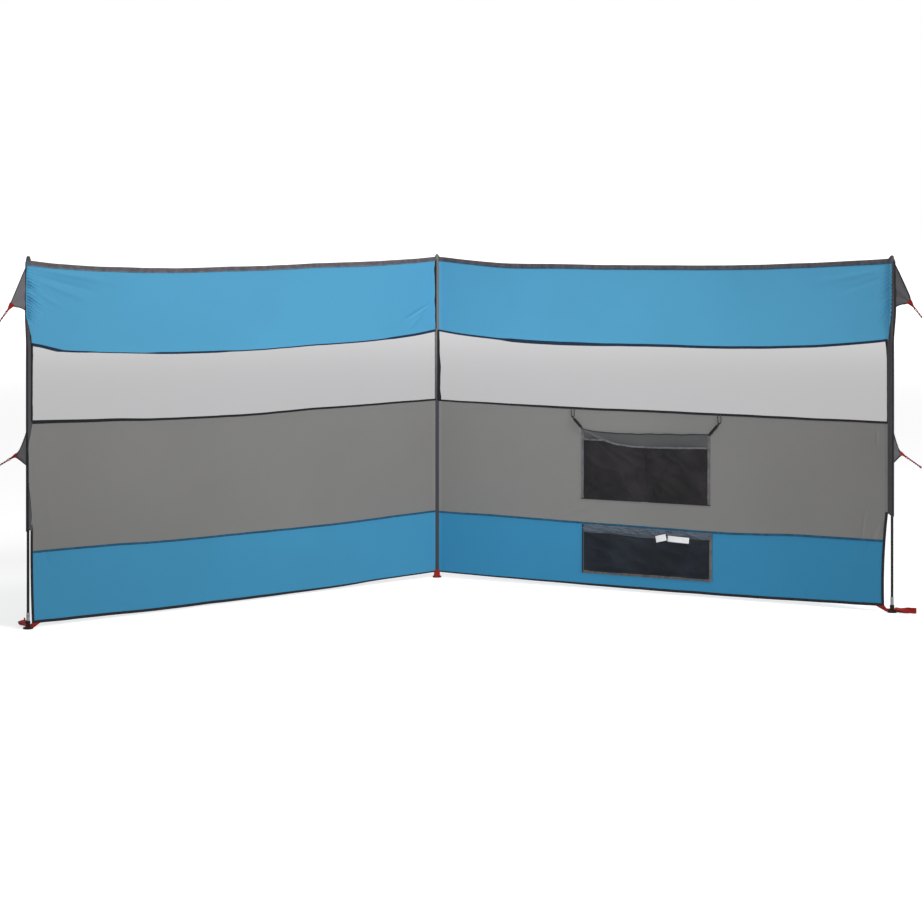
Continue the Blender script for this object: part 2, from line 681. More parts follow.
OLIVE_TAPE = ribbed_tape("olive_tape", colour(112, 98, 66), 0.0012)
FILM = frosted_film()
NET = knitted_net("pocket_net", colour(34, 31, 33))
LOW_NET = knitted_net("low_pocket_net", colour(22, 27, 34))
WEBBING = webbing_finish()
BRAID = braided_line()
METAL = bright_metal()
PLASTIC = moulded_plastic()
TAG = satin_tag()

CARRIED_OVER = {
    satin_black(): ("left_pole", "right_pole", "centre_pole"),
    PLASTIC: ("left_foot", "right_foot", "centre_foot"),
    METAL: ("pole_ferrules",),
}
for finish, names in CARRIED_OVER.items():
    for name in names:
        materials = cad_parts[name].data.materials
        materials.clear()
        materials.append(finish)


# Cloth strips: the seams below and above, rows of the grid, finish and slot
STRIPS = {
    "top": (WINDOW_HEAD, TOP_EDGE, 60, TOP_BLUE, "blue_cloth"),
    "window": (WINDOW_SILL, WINDOW_HEAD, 30, FILM, "window_film"),
    "middle": (MIDDLE_FOOT, WINDOW_SILL, 52, GREY, "grey_cloth"),
    "bottom": (BOTTOM_EDGE, MIDDLE_FOOT, 34, None, "blue_cloth"),
}
STRIP_START = 0.0116
CREASED_BAND = (0.22, 0.96)
# Shares of a strip's length where its grid has columns, closer at both poles
OPEN_COLUMNS = ceil(0.933 * BAY_LENGTH / CLOTH_STEP)
COLUMNS = even(8, 0, 0.012)[:-1] + even(OPEN_COLUMNS, 0.012, 0.945)[:-1] + even(52, 0.945)


def outer_edge(side, strip, z):
    """u of a strip's outer edge, which covers the sleeve's front, stops at it or hangs free below it."""
    free = END_U - edge_pull(side, z)
    if strip == "top":
        drag = gusset_pull(side, z) if side == "left" else 0.0
        return between(END_U + 0.004, TOP_COVER_U[side] + drag, ease(z, TOP_COVER_FOOT, 1.350))
    if strip == "middle" and side == "left":
        covered = between(MIDDLE_COVER_U, END_U, ease(z, *MIDDLE_COVER_HEAD))
        return between(free, covered, ease(z, SLEEVE_FOOT + 0.004, MIDDLE_COVER_FOOT))
    return free


def strip_shares(count, dense=(0.0, 0.0)):
    """Shares of a height where a grid has rows: closer at both ends, three times as close in a band."""
    shares = []
    for share in [0.6 * step + 0.4 * (1 - cos(pi * step)) / 2 for step in even(count)]:
        if shares and dense[0] < share < dense[1]:
            last, gap = shares[-1], share - shares[-1]
            shares += [last + gap / 3, last + 2 * gap / 3]
        shares.append(share)
    return shares


def cloth_strip(side, strip):
    low, high, count, finish, slot = STRIPS[strip]
    rows = []
    for share in strip_shares(count, CREASED_BAND if strip == "top" else (0.0, 0.0)):
        row = []
        for column in COLUMNS:
            u = between(STRIP_START, END_U, column)
            z = between(seam_height(low, side, u), seam_height(high, side, u), share)
            row.append(on_cloth(side, between(STRIP_START, outer_edge(side, strip, z), column), z))
        rows.append(row)
    name = f"{side}_{strip}"
    return Piece().skin(rows).made(f"{name}_cloth", [finish or LOW_BLUE[side]], slot, f"{name}_strip")


# Tapes. A station on the cloth is a place (u, z) and the way in from the edge there.


def sewn_on(side, stations, section):
    """Rings of a tape that follows the cloth. Its section, as (way in, lift), may change with the place."""
    rows = []
    for u, z, into_u, into_z in stations:
        steps = section(u, z) if callable(section) else section
        rows.append([on_cloth(side, u + into_u * step, z + into_z * step, lift) for step, lift in steps])
    return rows


def sew(piece, side, stations, step, lift, faces=(1, -1), thread=1):
    """Stitches on a tape's faces; step is the way in from the edge and may change with the place."""
    for face in faces:
        line = sewn_on(side, stations, lambda u, z: [(step(u, z) if callable(step) else step, lift * face)])
        piece.stitches([row[0] for row in line], FRONT[side] * face, finish=thread)


def fold_section(width):
    """Section of a tape folded over an edge."""
    face = [(width, 0.0005), (width, 0.0013), (width / 2, 0.0015), (0.0006, 0.0014)]
    back = [(step, -lift) for step, lift in reversed(face)]
    return face + [(-0.0013, 0.0)] + back + [(0.0012, -0.0004), (0.0012, 0.0004)]


def flat_section(start, end, edge=0.0004, face=0.0012):
    """Section of a flat tape."""
    middle = (start + end) / 2
    rim = 0.0003
    return [(start, edge), (start + rim, face), (middle, face + rim), (end - rim, face), (end, edge)]


def along_bay(seam, side, start, end, into, waver=0.0):
    """Stations along a seam or edge."""
    return [
        (u, seam_height(seam, side, u) + waver * wander((u, 0.0), 9.0, into * 3.0), 0.0, into)
        for u in even(ceil((end - start) / STATION_STEP) + 1, start, end)
    ]


def top_binding(side):
    """Wide grey tape folded over the top edge, with a narrow facing along its lower side."""
    stations = along_bay(TOP_EDGE, side, STRIP_START, 2.302, -1.0, 0.0006)
    stations += [(u, seam_height(TOP_EDGE, side, u), 0.0, -1.0) for u in (2.3035, 2.3050, 2.3066, 2.3080)]

    def facing(u, z):
        drop = 0.0030 * (0.5 + 0.5 * wander((u, 1.0), 2.4, 4.0)) * ease(u, 0.1, 0.5)
        low = 0.0205 + drop
        return [(low, 0.0004), (low, 0.0013), (0.0170, 0.0019), (0.0160, 0.0016), (0.0160, 0.0004)]

    piece = Piece().solid(sewn_on(side, stations, fold_section(TOP_BINDING)))
    piece.solid(sewn_on(side, stations, facing), 2)
    for step in (0.0028, 0.0136):
        sew(piece, side, stations, step, 0.0016)
    finishes = [HEAD_TAPE[side], GREY_THREAD, FACING[side]]
    return piece.made(f"{side}_top_tape", finishes, "dark_cloth", f"{side}_top_binding")


def bottom_binding(side):
    """Folded tape along the foot of a bay, narrower near the centre pole."""
    corner = END_U - edge_pull(side, 0.026)
    stations = along_bay(BOTTOM_EDGE, side, STRIP_START, corner, 1.0, 0.0005)

    def widening(narrow, wide):
        return lambda u, z: between(narrow, wide, ease(u, 0.1, 1.3))

    width = widening(0.0050, BOTTOM_BINDING)
    piece = Piece().solid(sewn_on(side, stations, lambda u, z: fold_section(width(u, z))))
    sew(piece, side, stations, widening(0.0036, 0.0082), 0.0015)
    finishes = [EDGING, DARK_THREAD]
    return piece.made(f"{side}_bottom_tape", finishes, "binding_tape", f"{side}_bottom_binding")


def edge_binding(side):
    """Folded tape down the free edge below the end sleeve."""
    heights = even(76, 0.024, SLEEVE_END[side] + 0.010)
    stations = [(END_U - edge_pull(side, z), z, -1.0, 0.0) for z in heights]
    piece = Piece().solid(sewn_on(side, stations, fold_section(EDGE_BINDING)))
    sew(piece, side, stations, 0.0080, 0.0015)
    return piece.made(f"{side}_edge_tape", [EDGING, DARK_THREAD], "binding_tape", f"{side}_edge_binding")


# Width of each seam's tape from the centre pole outward, as (u, millimetres)
HEAD_TAPE_WIDTH = {
    "left": ((0.0, 12), (0.25, 11), (0.35, 6), (1.20, 5), (1.30, 9), (1.60, 9), (1.72, 4), (1.95, 4),
             (2.02, 7), (2.12, 8), (2.16, 14), (2.30, 13)),
    "right": ((0.0, 9), (0.33, 9), (0.42, 17), (0.72, 17), (0.95, 13), (1.50, 12), (2.30, 11)),
}
SILL_TAPE_WIDTH = {
    "left": ((0.0, 9), (1.50, 10), (2.10, 14), (2.30, 16)),
    "right": ((0.0, 8), (0.80, 11), (1.60, 11), (2.30, 10)),
}
FOOT_TAPE_WIDTH = {"left": ((0.0, 9), (2.30, 9)), "right": ((0.0, 9), (2.30, 10))}


def seam_tape(piece, side, seam, widths, finish, thread):
    """A flat tape over a seam, with a row of stitches along each edge."""
    end = END_U
    if seam is MIDDLE_FOOT:
        end -= edge_pull(side, seam_height(seam, side, END_U)) + EDGE_BINDING
    stations = along_bay(seam, side, 0.011, end, -1.0, 0.0006)

    def half(u):
        return stop_value(widths, u) / 2

    tape = sewn_on(side, stations, lambda u, z: flat_section(-half(u), half(u), 0.0005, 0.0014))
    piece.solid(tape, finish)
    for edge in (-1, 1):
        seats = [(u, z, 0.0, -edge) for u, z, _, _ in stations]
        sew(piece, side, seats, lambda u, z: half(u) - 0.0015, 0.0016, (1,), thread)


def seam_tapes(side):
    piece = Piece()
    seam_tape(piece, side, WINDOW_HEAD, HEAD_TAPE_WIDTH[side], 0, 3)
    seam_tape(piece, side, WINDOW_SILL, SILL_TAPE_WIDTH[side], 1, 3)
    seam_tape(piece, side, MIDDLE_FOOT, FOOT_TAPE_WIDTH[side], 2, 4)
    finishes = [NAVY_TAPE, SEAM_TAPE, TEAL_TAPE, DARK_THREAD, BLUE_THREAD]
    return piece.made(f"{side}_seam_tape", finishes, "binding_tape", f"{side}_seam_tapes")


# Dark tapes down the sides of the strips: bay, edge, way in, and their widths as (height, millimetres)
SIDE_TAPES = (
    ("left", 2.2860, -1.0, ((0.878, 8), (1.000, 7.5), (1.211, 9))),
    ("right", 2.2795, -1.0, ((0.840, 2.5), (1.120, 3), (1.150, 5), (1.206, 12))),
    ("right", 0.0060, 1.0, ((0.866, 15), (1.020, 13), (1.208, 8))),
    ("left", 0.0082, 1.0, ((1.214, 3), (1.290, 5), (1.370, 8), (1.500, 9), (1.552, 7))),
)


def side_tapes():
    piece = Piece()
    for side, start, into, stops in SIDE_TAPES:
        stations = [(start, z, into, 0.0) for z in even(60, stops[0][0], stops[-1][0])]

        def section(u, z):
            return flat_section(0.0, stop_value(stops, z) * (1 + 0.20 * wander((z, u), 23.0, 3.0)))

        piece.solid(sewn_on(side, stations, section))
    return piece.made("side_tapes", [SEAM_TAPE], "binding_tape")


# Sleeves

# Cap over each end pole's tip: height, and its reach outward and inward of the pole's axis in millimetres
CAP_SHAPE = {
    "left": ((1.556, 9.4, 15.0), (1.563, 9.0, 14.0), (1.568, 8.2, 12.0), (1.574, 7.4, 10.0),
             (1.5785, 6.6, 8.6), (1.580, 5.0, 7.0)),
    "right": ((1.552, 9.6, 26.0), (1.560, 9.4, 22.0), (1.566, 9.0, 17.0), (1.572, 8.4, 12.0),
              (1.577, 7.0, 8.6), (1.580, 3.6, 5.0)),
}
# How far the edging turns round the pole beside the lower cloth, the window and the top strip, in half turns
EDGING_TURN = {"left": (0.43, 0.27, 0.12), "right": (0.44, 0.40, 0.30)}
FLAP_SEAM = 0.0125


def sleeve_section():
    """Half section of an end sleeve from its outermost point to the edge of its flap, as (inward, v)."""
    radius = SLEEVE_RADIUS["end"]
    points = [(-radius * cos(angle * pi), radius * sin(angle * pi)) for angle in even(14, 0.0, 0.70)]
    flap = even(6, points[-1][0], END_FLAP + 0.0015)[1:]
    return points + [(inward, max(sleeve_half("end", inward), 0.0010)) for inward in flap]


def end_sleeve(side):
    """Pole tunnel of dark cloth, sewn down along its flap and gathered a little, its foot cut on a slant."""
    heights = even(220, SLEEVE_END[side], seam_height(TOP_EDGE, side, END_U) + 0.0005)
    half = sleeve_section()
    rows = []
    for z in heights:
        slack = 0.0005 * wander((z, 1.0), 21.0, 3.0) + 0.0003 * wander((z, 2.0), 70.0, 3.0)
        slant = SLEEVE_SLANT[side] * (1 - ease(z, SLEEVE_END[side], SLEEVE_END[side] + 0.040))
        drag = 1 + gusset_pull(side, z) / SLEEVE_RADIUS["end"]
        dragged = [(a * drag if a < 0 else a, b) for a, b in half]
        section = [(a, b + slack * (1 - abs(a) / 0.03)) for a, b in reversed(dragged)]
        section += [(a, slack * 0.5 - b) for a, b in dragged[1:]]
        rows.append([end_pole_point(side, a, b, z - slant * (a - 0.010)) for a, b in section])
    piece = Piece().skin(rows)
    bare = [z for z in heights if outer_edge(side, "middle", z) < END_U + 0.002 and z < WINDOW_HEAD[side]]
    for low, high in zip(bare, bare[1:]):
        if high - low < 0.008:
            piece.stitches([end_pole_point(side, FLAP_SEAM, 0.0031, z) for z in (low, high)], FRONT[side])
    piece.stitches([end_pole_point(side, FLAP_SEAM, -0.0031, z) for z in heights], -FRONT[side])
    finishes = [SLEEVE_CLOTH, DARK_THREAD]
    return piece.made(f"{side}_pole_sleeve", finishes, "dark_cloth", f"{side}_sleeve", smooth=60)


def pole_cap(side):
    """Stiff doubled cloth that closes the sleeve over the pole's tip."""
    rows = []
    stops = CAP_SHAPE[side]
    for z in even(26, stops[0][0], stops[-1][0]):
        below, above = next((a, b) for a, b in zip(stops, stops[1:]) if z <= b[0] + 0.000001)
        part = clamp((z - below[0]) / (above[0] - below[0]))
        out, into = (between(below[step], above[step], part) * 0.001 for step in (1, 2))
        thick = between(0.0098, 0.0072, ease(z, 1.560, 1.574)) * (1 - 0.55 * ease(z, 1.5745, SLEEVE_TIP))
        ring = []
        for angle in [index * 2 * pi / 36 for index in range(36)]:
            along = cos(angle) * (into if cos(angle) > 0 else out)
            narrow = 1 - 0.55 * ease(along, 0.006, 0.020)
            ring.append(end_pole_point(side, along, thick * sin(angle) * narrow, z))
        rows.append(ring)
    seam = [end_pole_point(side, inward, 0.0102 * sqrt(clamp(1 - (inward / 0.0135) ** 2, 0.05)), 1.5585)
            for inward in even(10, -0.0085, 0.012)]
    piece = Piece().solid(rows).stitches(seam, FRONT[side])
    return piece.made(f"{side}_pole_cap", [SLEEVE_CLOTH, GREY_THREAD], "dark_cloth", smooth=50)


def sleeve_edging(side):
    """Black edging bound round the outer side of the end sleeve."""
    rows = []
    radius = SLEEVE_RADIUS["end"] + 0.0006
    low_turn, middle_turn, top_turn = EDGING_TURN[side]
    for z in even(180, SLEEVE_END[side] - 0.004, 1.556):
        turn = between(low_turn, middle_turn, ease(z, 0.700, MIDDLE_COVER_HEAD[1]))
        turn = between(turn, top_turn, ease(z, 1.190, 1.225))
        out = radius + gusset_pull(side, z)
        rows.append([end_pole_point(side, -out * cos(angle * pi), radius * sin(angle * pi), z)
                     for angle in even(15, -turn * 0.8, turn)])
    return Piece().skin(rows).made(f"{side}_sleeve_edging", [EDGING], "binding_tape", thickness=0.0007)


def centre_sleeve():
    """Tunnel on the centre pole: a front and a back cloth, sewn together and to both bays at its flaps."""
    head = TOP_EDGE["centre"] + 0.001
    seam = even(240, CENTRE_SLEEVE_FOOT, head)
    heights = seam + even(8, head, SLEEVE_TIP)[1:]
    flap = even(8, CENTRE_FLAP, 0.0078)
    piece = Piece()
    for face, first, last, count in ((1, 252, 288, 8), (-1, 160, 20, 20)):
        rows = []
        for z in heights:
            shrink = 1 - 0.5 * ease(z, head + 0.002, SLEEVE_TIP)
            tip = between(CENTRE_FLAP, 0.0040, ease(z, head, SLEEVE_TIP - 0.004))
            section = [(min(u, tip), face * sleeve_half("centre", u) * shrink) for u in flap]
            start, end = ([bay_point(side, u, v, z) for u, v in section] for side in SIDES)
            for angle in even(count, radians(first), radians(last)):
                reach = SLEEVE_RADIUS["centre"] * shrink * (1 + 0.05 * wander((z, angle * 0.3), 15.0, 8.0))
                start.append(Vector((reach * cos(angle), reach * sin(angle), z)))
            rows.append(start + end[::-1])
        piece.skin(rows)
        piece.face([len(piece.points) - 1 - step for step in range(len(rows[0]))])
    for side in SIDES:
        piece.stitches([bay_point(side, 0.0118, -0.0013, z) for z in seam], -FRONT[side])
    finishes = [CENTRE_CLOTH, DARK_THREAD]
    return piece.made("centre_pole_sleeve", finishes, "dark_cloth", "centre_sleeve", smooth=60)


# Gussets

# How far out of the pole's axis each gusset's tip is, and its height
GUSSET_TIP = {
    "upper": {"left": (0.092, 1.371), "right": (0.092, 1.371)},
    "lower": {"left": (0.070, 0.730), "right": (0.070, 0.697)},
}
GUSSET_ROOT = 0.0075
GUSSET_ROWS = 90
GUSSET_SHARES = (0.0, 0.1, 0.2, 0.3, 0.4, 0.5, 0.6, 0.7, 0.79, 0.86, 0.905, 0.93, 0.965, 1.0)
HEM_WIDTH = {"upper": 0.0042, "lower": 0.0070}


def gusset_outline(side, level):
    """Outer edge of a gusset in its own upright plane, from its head round its tip to its foot."""
    reach, height = GUSSET_TIP[level][side]
    if level == "upper":
        far = 0.007 if side == "right" else 0.0
        steps = [(GUSSET_ROOT + far, 0.171), (0.0270 + far, 0.1335), (0.0540 + far, 0.0770),
                 (0.0770 + far * 0.8, 0.0300), (reach - 0.004, 0.006), (reach - 0.009, -0.001),
                 (reach - 0.020, -0.004), (0.0600, -0.0070), (0.0430, -0.0090), (0.0260, -0.0150),
                 (GUSSET_ROOT, -0.0260)]
    else:
        steps = [(GUSSET_ROOT, 0.112), (0.0200, 0.0800), (0.0330, 0.0520), (reach - 0.024, 0.028),
                 (reach - 0.012, 0.0140), (reach, 0.007), (reach, -0.007), (reach - 0.014, -0.012),
                 (0.0370, -0.0225), (GUSSET_ROOT, -0.040)]
    return [(out, height + up) for out, up in steps]


def stay_point(side, level, out, up, aside=0.0):
    """A point of the upright plane in which a pair of stays runs."""
    heading = STAY_HEADING[level]
    x = BAY_LENGTH * BAY_COS + out * cos(heading) + aside * sin(heading)
    y = -BAY_LENGTH * BAY_SIN + out * sin(heading) - aside * cos(heading)
    return Vector((x * OUTWARD[side], y, up))


def stay_aside(side, level):
    return stay_point(side, level, 0, 0, 1) - stay_point(side, level, 0, 0, 0)


def resampled(points, count):
    """The same line with evenly spaced points."""
    lengths = [0.0]
    for start, end in zip(points, points[1:]):
        lengths.append(lengths[-1] + hypot(end[0] - start[0], end[1] - start[1]))
    line = []
    index = 0
    for target in even(count, 0.0, lengths[-1]):
        while index < len(points) - 2 and lengths[index + 1] < target:
            index += 1
        part = clamp((target - lengths[index]) / (lengths[index + 1] - lengths[index]))
        line.append(tuple(between(start, end, part) for start, end in zip(points[index], points[index + 1])))
    return line


def gusset(side, level):
    """Triangle of cloth pulled into folds by its tab."""
    outer = resampled(gusset_outline(side, level), GUSSET_ROWS)
    tip_out, tip_up = GUSSET_TIP[level][side]
    root = outer[0][0]
    rows = []
    for (out, up), foot_up in zip(outer, even(GUSSET_ROWS, outer[0][1], outer[-1][1])):
        row = []
        for share in GUSSET_SHARES:
            at_out, at_up = between(root, out, share), between(foot_up, up, share)
            away = hypot(at_out - tip_out, at_up - tip_up)
            turn = atan2(at_up - tip_up, tip_out - at_out)
            fold = 0.0016 * sin(turn * 9.0 + 1.2) * ease(away, 0.006, 0.03) * (1 - ease(away, 0.09, 0.19))
            row.append(stay_point(side, level, at_out, at_up, fold * (1 - 0.7 * share)))
        rows.append(row)
    name = f"{side}_{level}_gusset"
    return Piece().skin(rows).made(f"{name}_cloth", [GUSSET_CLOTH[side]], "dark_cloth", name, 60, 0.0010)


def gusset_hem(side, level):
    """The turned hem: a flat band along the outer edges on both faces, with two rows of stitches."""
    outer = resampled(gusset_outline(side, level), GUSSET_ROWS)
    root, width, ways = outer[0][0], HEM_WIDTH[level], stay_aside(side, level)

    def hem_point(index, step, aside):
        """A point that far in from the edge."""
        before, after = outer[max(index - 2, 0)], outer[min(index + 2, len(outer) - 1)]
        run = Vector((after[0] - before[0], after[1] - before[1])).normalized()
        out, up = outer[index]
        return stay_point(side, level, max(out + run.y * step, root), up - run.x * step, aside)

    section = [(-0.0006, 0.0), (0.0002, 0.0012), (width, 0.0011), (width, -0.0011), (0.0002, -0.0012)]
    piece = Piece().solid([[hem_point(index, *corner) for corner in section] for index in range(len(outer))])
    for step in (width - 0.001, 0.0018):
        for aside in (0.00125, -0.00125):
            line = [hem_point(index, step, aside) for index in range(5, len(outer) - 5)]
            piece.stitches(line, ways * aside, 0.0036)
    if level == "lower":
        tip_patch(piece, side, level, ways)
    finishes = [HEM_TAPE[side], DARK_THREAD, OLIVE_TAPE]
    return piece.made(f"{side}_{level}_gusset_hem", finishes, "binding_tape")


def tip_patch(piece, side, level, ways):
    """Small olive patch on both faces of a lower gusset's tip."""
    reach, height = GUSSET_TIP[level][side]
    steps = ((0.016, -0.006), (0.003, -0.005), (0.003, 0.006), (0.016, 0.008))
    corners = [(reach - into, height + up) for into, up in steps]
    for aside in (0.0016, -0.0016):
        outside, inside, seam = ([stay_point(side, level, *corner, aside * share) for corner in corners]
                                 for share in (1, 0.4, 1.1))
        piece.solid([outside, inside], 2).stitches(seam + seam[:1], ways * aside, 0.0026)


# Webbing tabs, guy lines, sliders and pegs

TAB_LENGTH = 0.030
TAB_START = -TAB_LENGTH - 0.012
TAB_HALF = 0.0016
TAB_TURN = 0.0036  # half its width where it folds round the line
TAB_HALF_WIDTH = {"upper": 0.0115, "lower": 0.0080}
TAB_SEAT = {"upper": (-0.008, -0.001), "lower": (0.0, 0.0)}  # where the tab leaves the gusset, from its tip
PEG_EYE = (0.0051, 0.034)  # radius of the line's eye, and its height
SLIDER_FROM_PEG = 0.330
LINE_DOUBLED = 0.120  # how far the line runs doubled beyond its tab
LINE_LAY = 210.0  # turn of its two strands, in radians a metre


def stay_frame(side, level):
    """The tab's fold, the ways along the line, across it and aside, and the line's length up to its peg."""
    seat = Vector(GUSSET_TIP[level][side]) + Vector(TAB_SEAT[level])
    peg = Vector((STAY_REACH[level] - PEG_EYE[0], PEG_EYE[1]))
    fold = seat + (peg - seat).normalized() * TAB_LENGTH
    origin = stay_point(side, level, *fold)
    line = stay_point(side, level, *peg) - origin
    along, aside = line.normalized(), stay_aside(side, level).normalized()
    return origin, along, aside.cross(along).normalized(), aside, line.length


def ribbon_section(half_width, half_thickness):
    """Section of webbing: flat, with a rolled selvedge at each side, as (across, out)."""
    edge = half_thickness * 1.18
    face = [(0.0, 0.0), (edge * 0.5, edge), (edge * 1.8, half_thickness * 0.9)]
    over = [(a - half_width, b) for a, b in face] + [(0.0, half_thickness)]
    over += [(half_width - a, b) for a, b in reversed(face[1:])]
    return over + [(-a, -b) for a, b in over]


def ribbon_rows(path, ways_across, half_widths, half_thickness, closed=False):
    """Rings of webbing along a path; the way across and half the width are given for each point."""
    rows = []
    count = len(path)
    for index, (point, across, half) in enumerate(zip(path, ways_across, half_widths)):
        if closed:
            before, after = path[index - 1], path[(index + 1) % count]
        else:
            before, after = path[max(index - 1, 0)], path[min(index + 1, count - 1)]
        across = across.normalized()
        out = (after - before).cross(across).normalized()
        rows.append([point + across * a + out * b for a, b in ribbon_section(half, half_thickness)])
    return rows


def webbing_tab(piece, side, level):
    """Red tab sewn over a gusset's tip: wide at the gusset, pinched where it folds round the line."""
    origin, along, across, aside, _ = stay_frame(side, level)

    def half_width(a):
        return between(TAB_HALF_WIDTH[level], TAB_TURN, ease(a, TAB_START + 0.004, -0.006))

    flat = even(18, TAB_START, -0.004)
    path = [origin + along * a + aside * TAB_HALF for a in flat]
    for angle in even(13, pi / 2, -pi / 2):
        swell = TAB_HALF + 0.0012 * cos(angle)
        path.append(origin + along * (0.0026 * cos(angle)) + aside * (swell * sin(angle)))
    path += [origin + along * a - aside * TAB_HALF for a in reversed(flat)]
    sizes = [half_width(a) for a in flat]
    piece.solid(ribbon_rows(path, [across] * len(path), sizes + [TAB_TURN] * 13 + sizes[::-1], 0.0006))
    start, end, wide = TAB_START + 0.002, -0.026, half_width(TAB_START) - 0.0020
    narrow = wide * 0.85
    box = [(start, -wide), (start, wide), (end, narrow), (end, -narrow), (start, -wide), (end, narrow)]
    for face in (aside, -aside):
        above = origin + face * (TAB_HALF + 0.0009)
        piece.stitches([above + along * a + across * b for a, b in box], face, 0.0028)
        piece.stitches([above + along * a - face * 0.0002 for a in (-0.024, -0.004)], face, 0.0022)


def line_slider(piece, side, level):
    """Flat runner with rounded ends and raised rims."""
    origin, along, across, aside, run = stay_frame(side, level)
    middle = origin + along * (run - SLIDER_FROM_PEG)
    half_width, half_thick, straight_half = 0.0065, 0.0031, 0.0105
    outline = []
    for end, first in ((straight_half, -0.5), (-straight_half, 0.5)):
        outline += [(end + half_width * cos(angle * pi), half_width * sin(angle * pi))
                    for angle in even(13, first, first + 1)]
    face = [(0.30, 0.72), (0.24, 0.98), (0.10, 1.0), (0.0, 0.70)]
    rows = []
    for inset, lift in face + [(inset, -lift) for inset, lift in reversed(face)]:
        rows.append([middle + along * (a * (1 - inset * 0.4)) + across * (b * (1 - inset))
                     + aside * (half_thick * lift) for a, b in outline])
    piece.solid(rows)


def ground_peg(piece, side, level):
    """Bent wire peg: the shank stands in the ground and the hook turns over the line."""
    near, radius, hook = STAY_REACH[level], 0.0030, 0.009
    corners = [(near, 0.0), (near, 0.023), (near, 0.046)]
    corners += [(near + hook + hook * cos(angle), 0.046 + hook * sin(angle)) for angle in even(13, pi, 0.0)]
    corners += [(near + 2 * hook, 0.040), (near + 2 * hook, 0.0345)]
    path = [stay_point(side, level, *corner) for corner in corners]
    rows = tube_rows(path, radius, 20)
    for angle in even(5, 0.0, pi / 2)[1:]:
        ring = tube_rows(path[-2:], radius * cos(angle) + 0.00005, 20)[-1]
        rows.append([point - Vector((0, 0, radius * sin(angle) * 0.6)) for point in ring])
    piece.solid(rows)


def on_each_stay(make):
    """One piece with a part of this kind on each of the four stays."""
    piece = Piece()
    for side in SIDES:
        for level in STAY_HEADING:
            make(piece, side, level)
    return piece


def straight(start, end, spacing):
    return [start.lerp(end, share) for share in even(max(2, ceil((end - start).length / spacing) + 1))]


def smooth_path(corners, spacing):
    """A smooth curve through the corners, as close points."""
    points = []
    ends = [corners[0] * 2 - corners[1]] + list(corners) + [corners[-1] * 2 - corners[-2]]
    for a, b, c, d in zip(ends, ends[1:], ends[2:], ends[3:]):
        count = max(2, ceil((c - b).length / spacing))
        for t in [step / count for step in range(count)]:
            square, cube = 2 * a - 5 * b + 4 * c - d, 3 * b - a - 3 * c + d
            points.append(0.5 * (2 * b + (c - a) * t + square * t * t + cube * t ** 3))
    return points + [corners[-1]]


def guy_line(side, level):
    """Taut plaited line: doubled through the tab, knotted, threaded in its slider, doubled round the peg."""
    origin, along, across, aside, run = stay_frame(side, level)
    piece = Piece()

    def place(a, b, c=0.0):
        return origin + along * a + across * b + aside * c

    def laid(phase):
        """One of the two strands between the eye and the knot."""
        turns = [(a, phase + (a - 0.020) * LINE_LAY) for a in even(90, 0.020, LINE_DOUBLED)]
        return [place(a, 0.0021 * cos(angle), 0.0021 * sin(angle)) for a, angle in turns]

    half_eye = [(0.010, 0.0027), (0.004, 0.0034), (0.0008, 0.0032), (0.0, 0.0018)]
    eye = [place(a, b) for a, b in half_eye] + [place(a, -b) for a, b in reversed(half_eye)]
    piece.tube(laid(0.0)[::-1] + smooth_path(eye, 0.0016) + laid(pi), 0.0019)
    turns = zip(even(64, LINE_DOUBLED - 0.0035, LINE_DOUBLED + 0.0040), even(64, 0.0, 6 * pi))
    knot = [place(a, 0.0028 * cos(angle), 0.0028 * sin(angle)) for a, angle in turns]
    piece.tube(knot, 0.0017, 8, 0.08)
    slider = run - SLIDER_FROM_PEG
    piece.tube(straight(place(LINE_DOUBLED, 0), place(slider, 0), 0.0018), 0.00165)
    for turn in (1, -1):
        strand = [place(slider - 0.004, 0.0), place(slider + 0.030, 0.0006 * turn, 0.0016 * turn),
                  place(run - 0.060, 0.0006 * turn, 0.0017 * turn), place(run - 0.012, 0.0, 0.0026 * turn),
                  place(run - 0.002, 0.0, 0.0042 * turn)]
        piece.tube(smooth_path(strand, 0.0022), 0.0015)
    peg = stay_point(side, level, STAY_REACH[level], PEG_EYE[1])
    flat = Vector((along.x, along.y, 0)).normalized()
    loop = [peg + flat * (0.0046 * cos(angle)) + aside * (0.0046 * sin(angle))
            for angle in even(30, -0.66 * pi, 0.66 * pi)]
    before, after = (place(run - 0.006, 0.0, turn * 0.0038) for turn in (-1, 1))
    piece.tube([before] + loop + [after], 0.0015, 10, 0.08)
    return piece.made(f"{side}_{level}_guy_line", [BRAID], "line", f"{side}_{level}_guy")


# Foot straps

STRAP_HALF_WIDTH = 0.0125
STRAP_HALF = 0.0008
STRAP_FLOOR = 0.0073
FOOT_NECK = 0.0083
LOOP_TURN = {"left": radians(105), "right": 0.0}
LOOP_LIFT = {"left": 0.006, "right": 0.001}  # how far the loop's end stands off the ground
LOOP_START, LOOP_LENGTH, LOOP_GAP = 0.0092, 0.1012, 0.0058
RISE = Vector((0, 0, 1))


def foot_plan(side, out, aside, z, turn=0.0):
    """A point round an end pole's foot: out along the bay's line swung by turn, and aside from it."""
    heading = turn - BAY_ANGLE
    x = BAY_LENGTH * BAY_COS + out * cos(heading) - aside * sin(heading)
    y = -BAY_LENGTH * BAY_SIN + out * sin(heading) + aside * cos(heading)
    return Vector((x * OUTWARD[side], y, z))


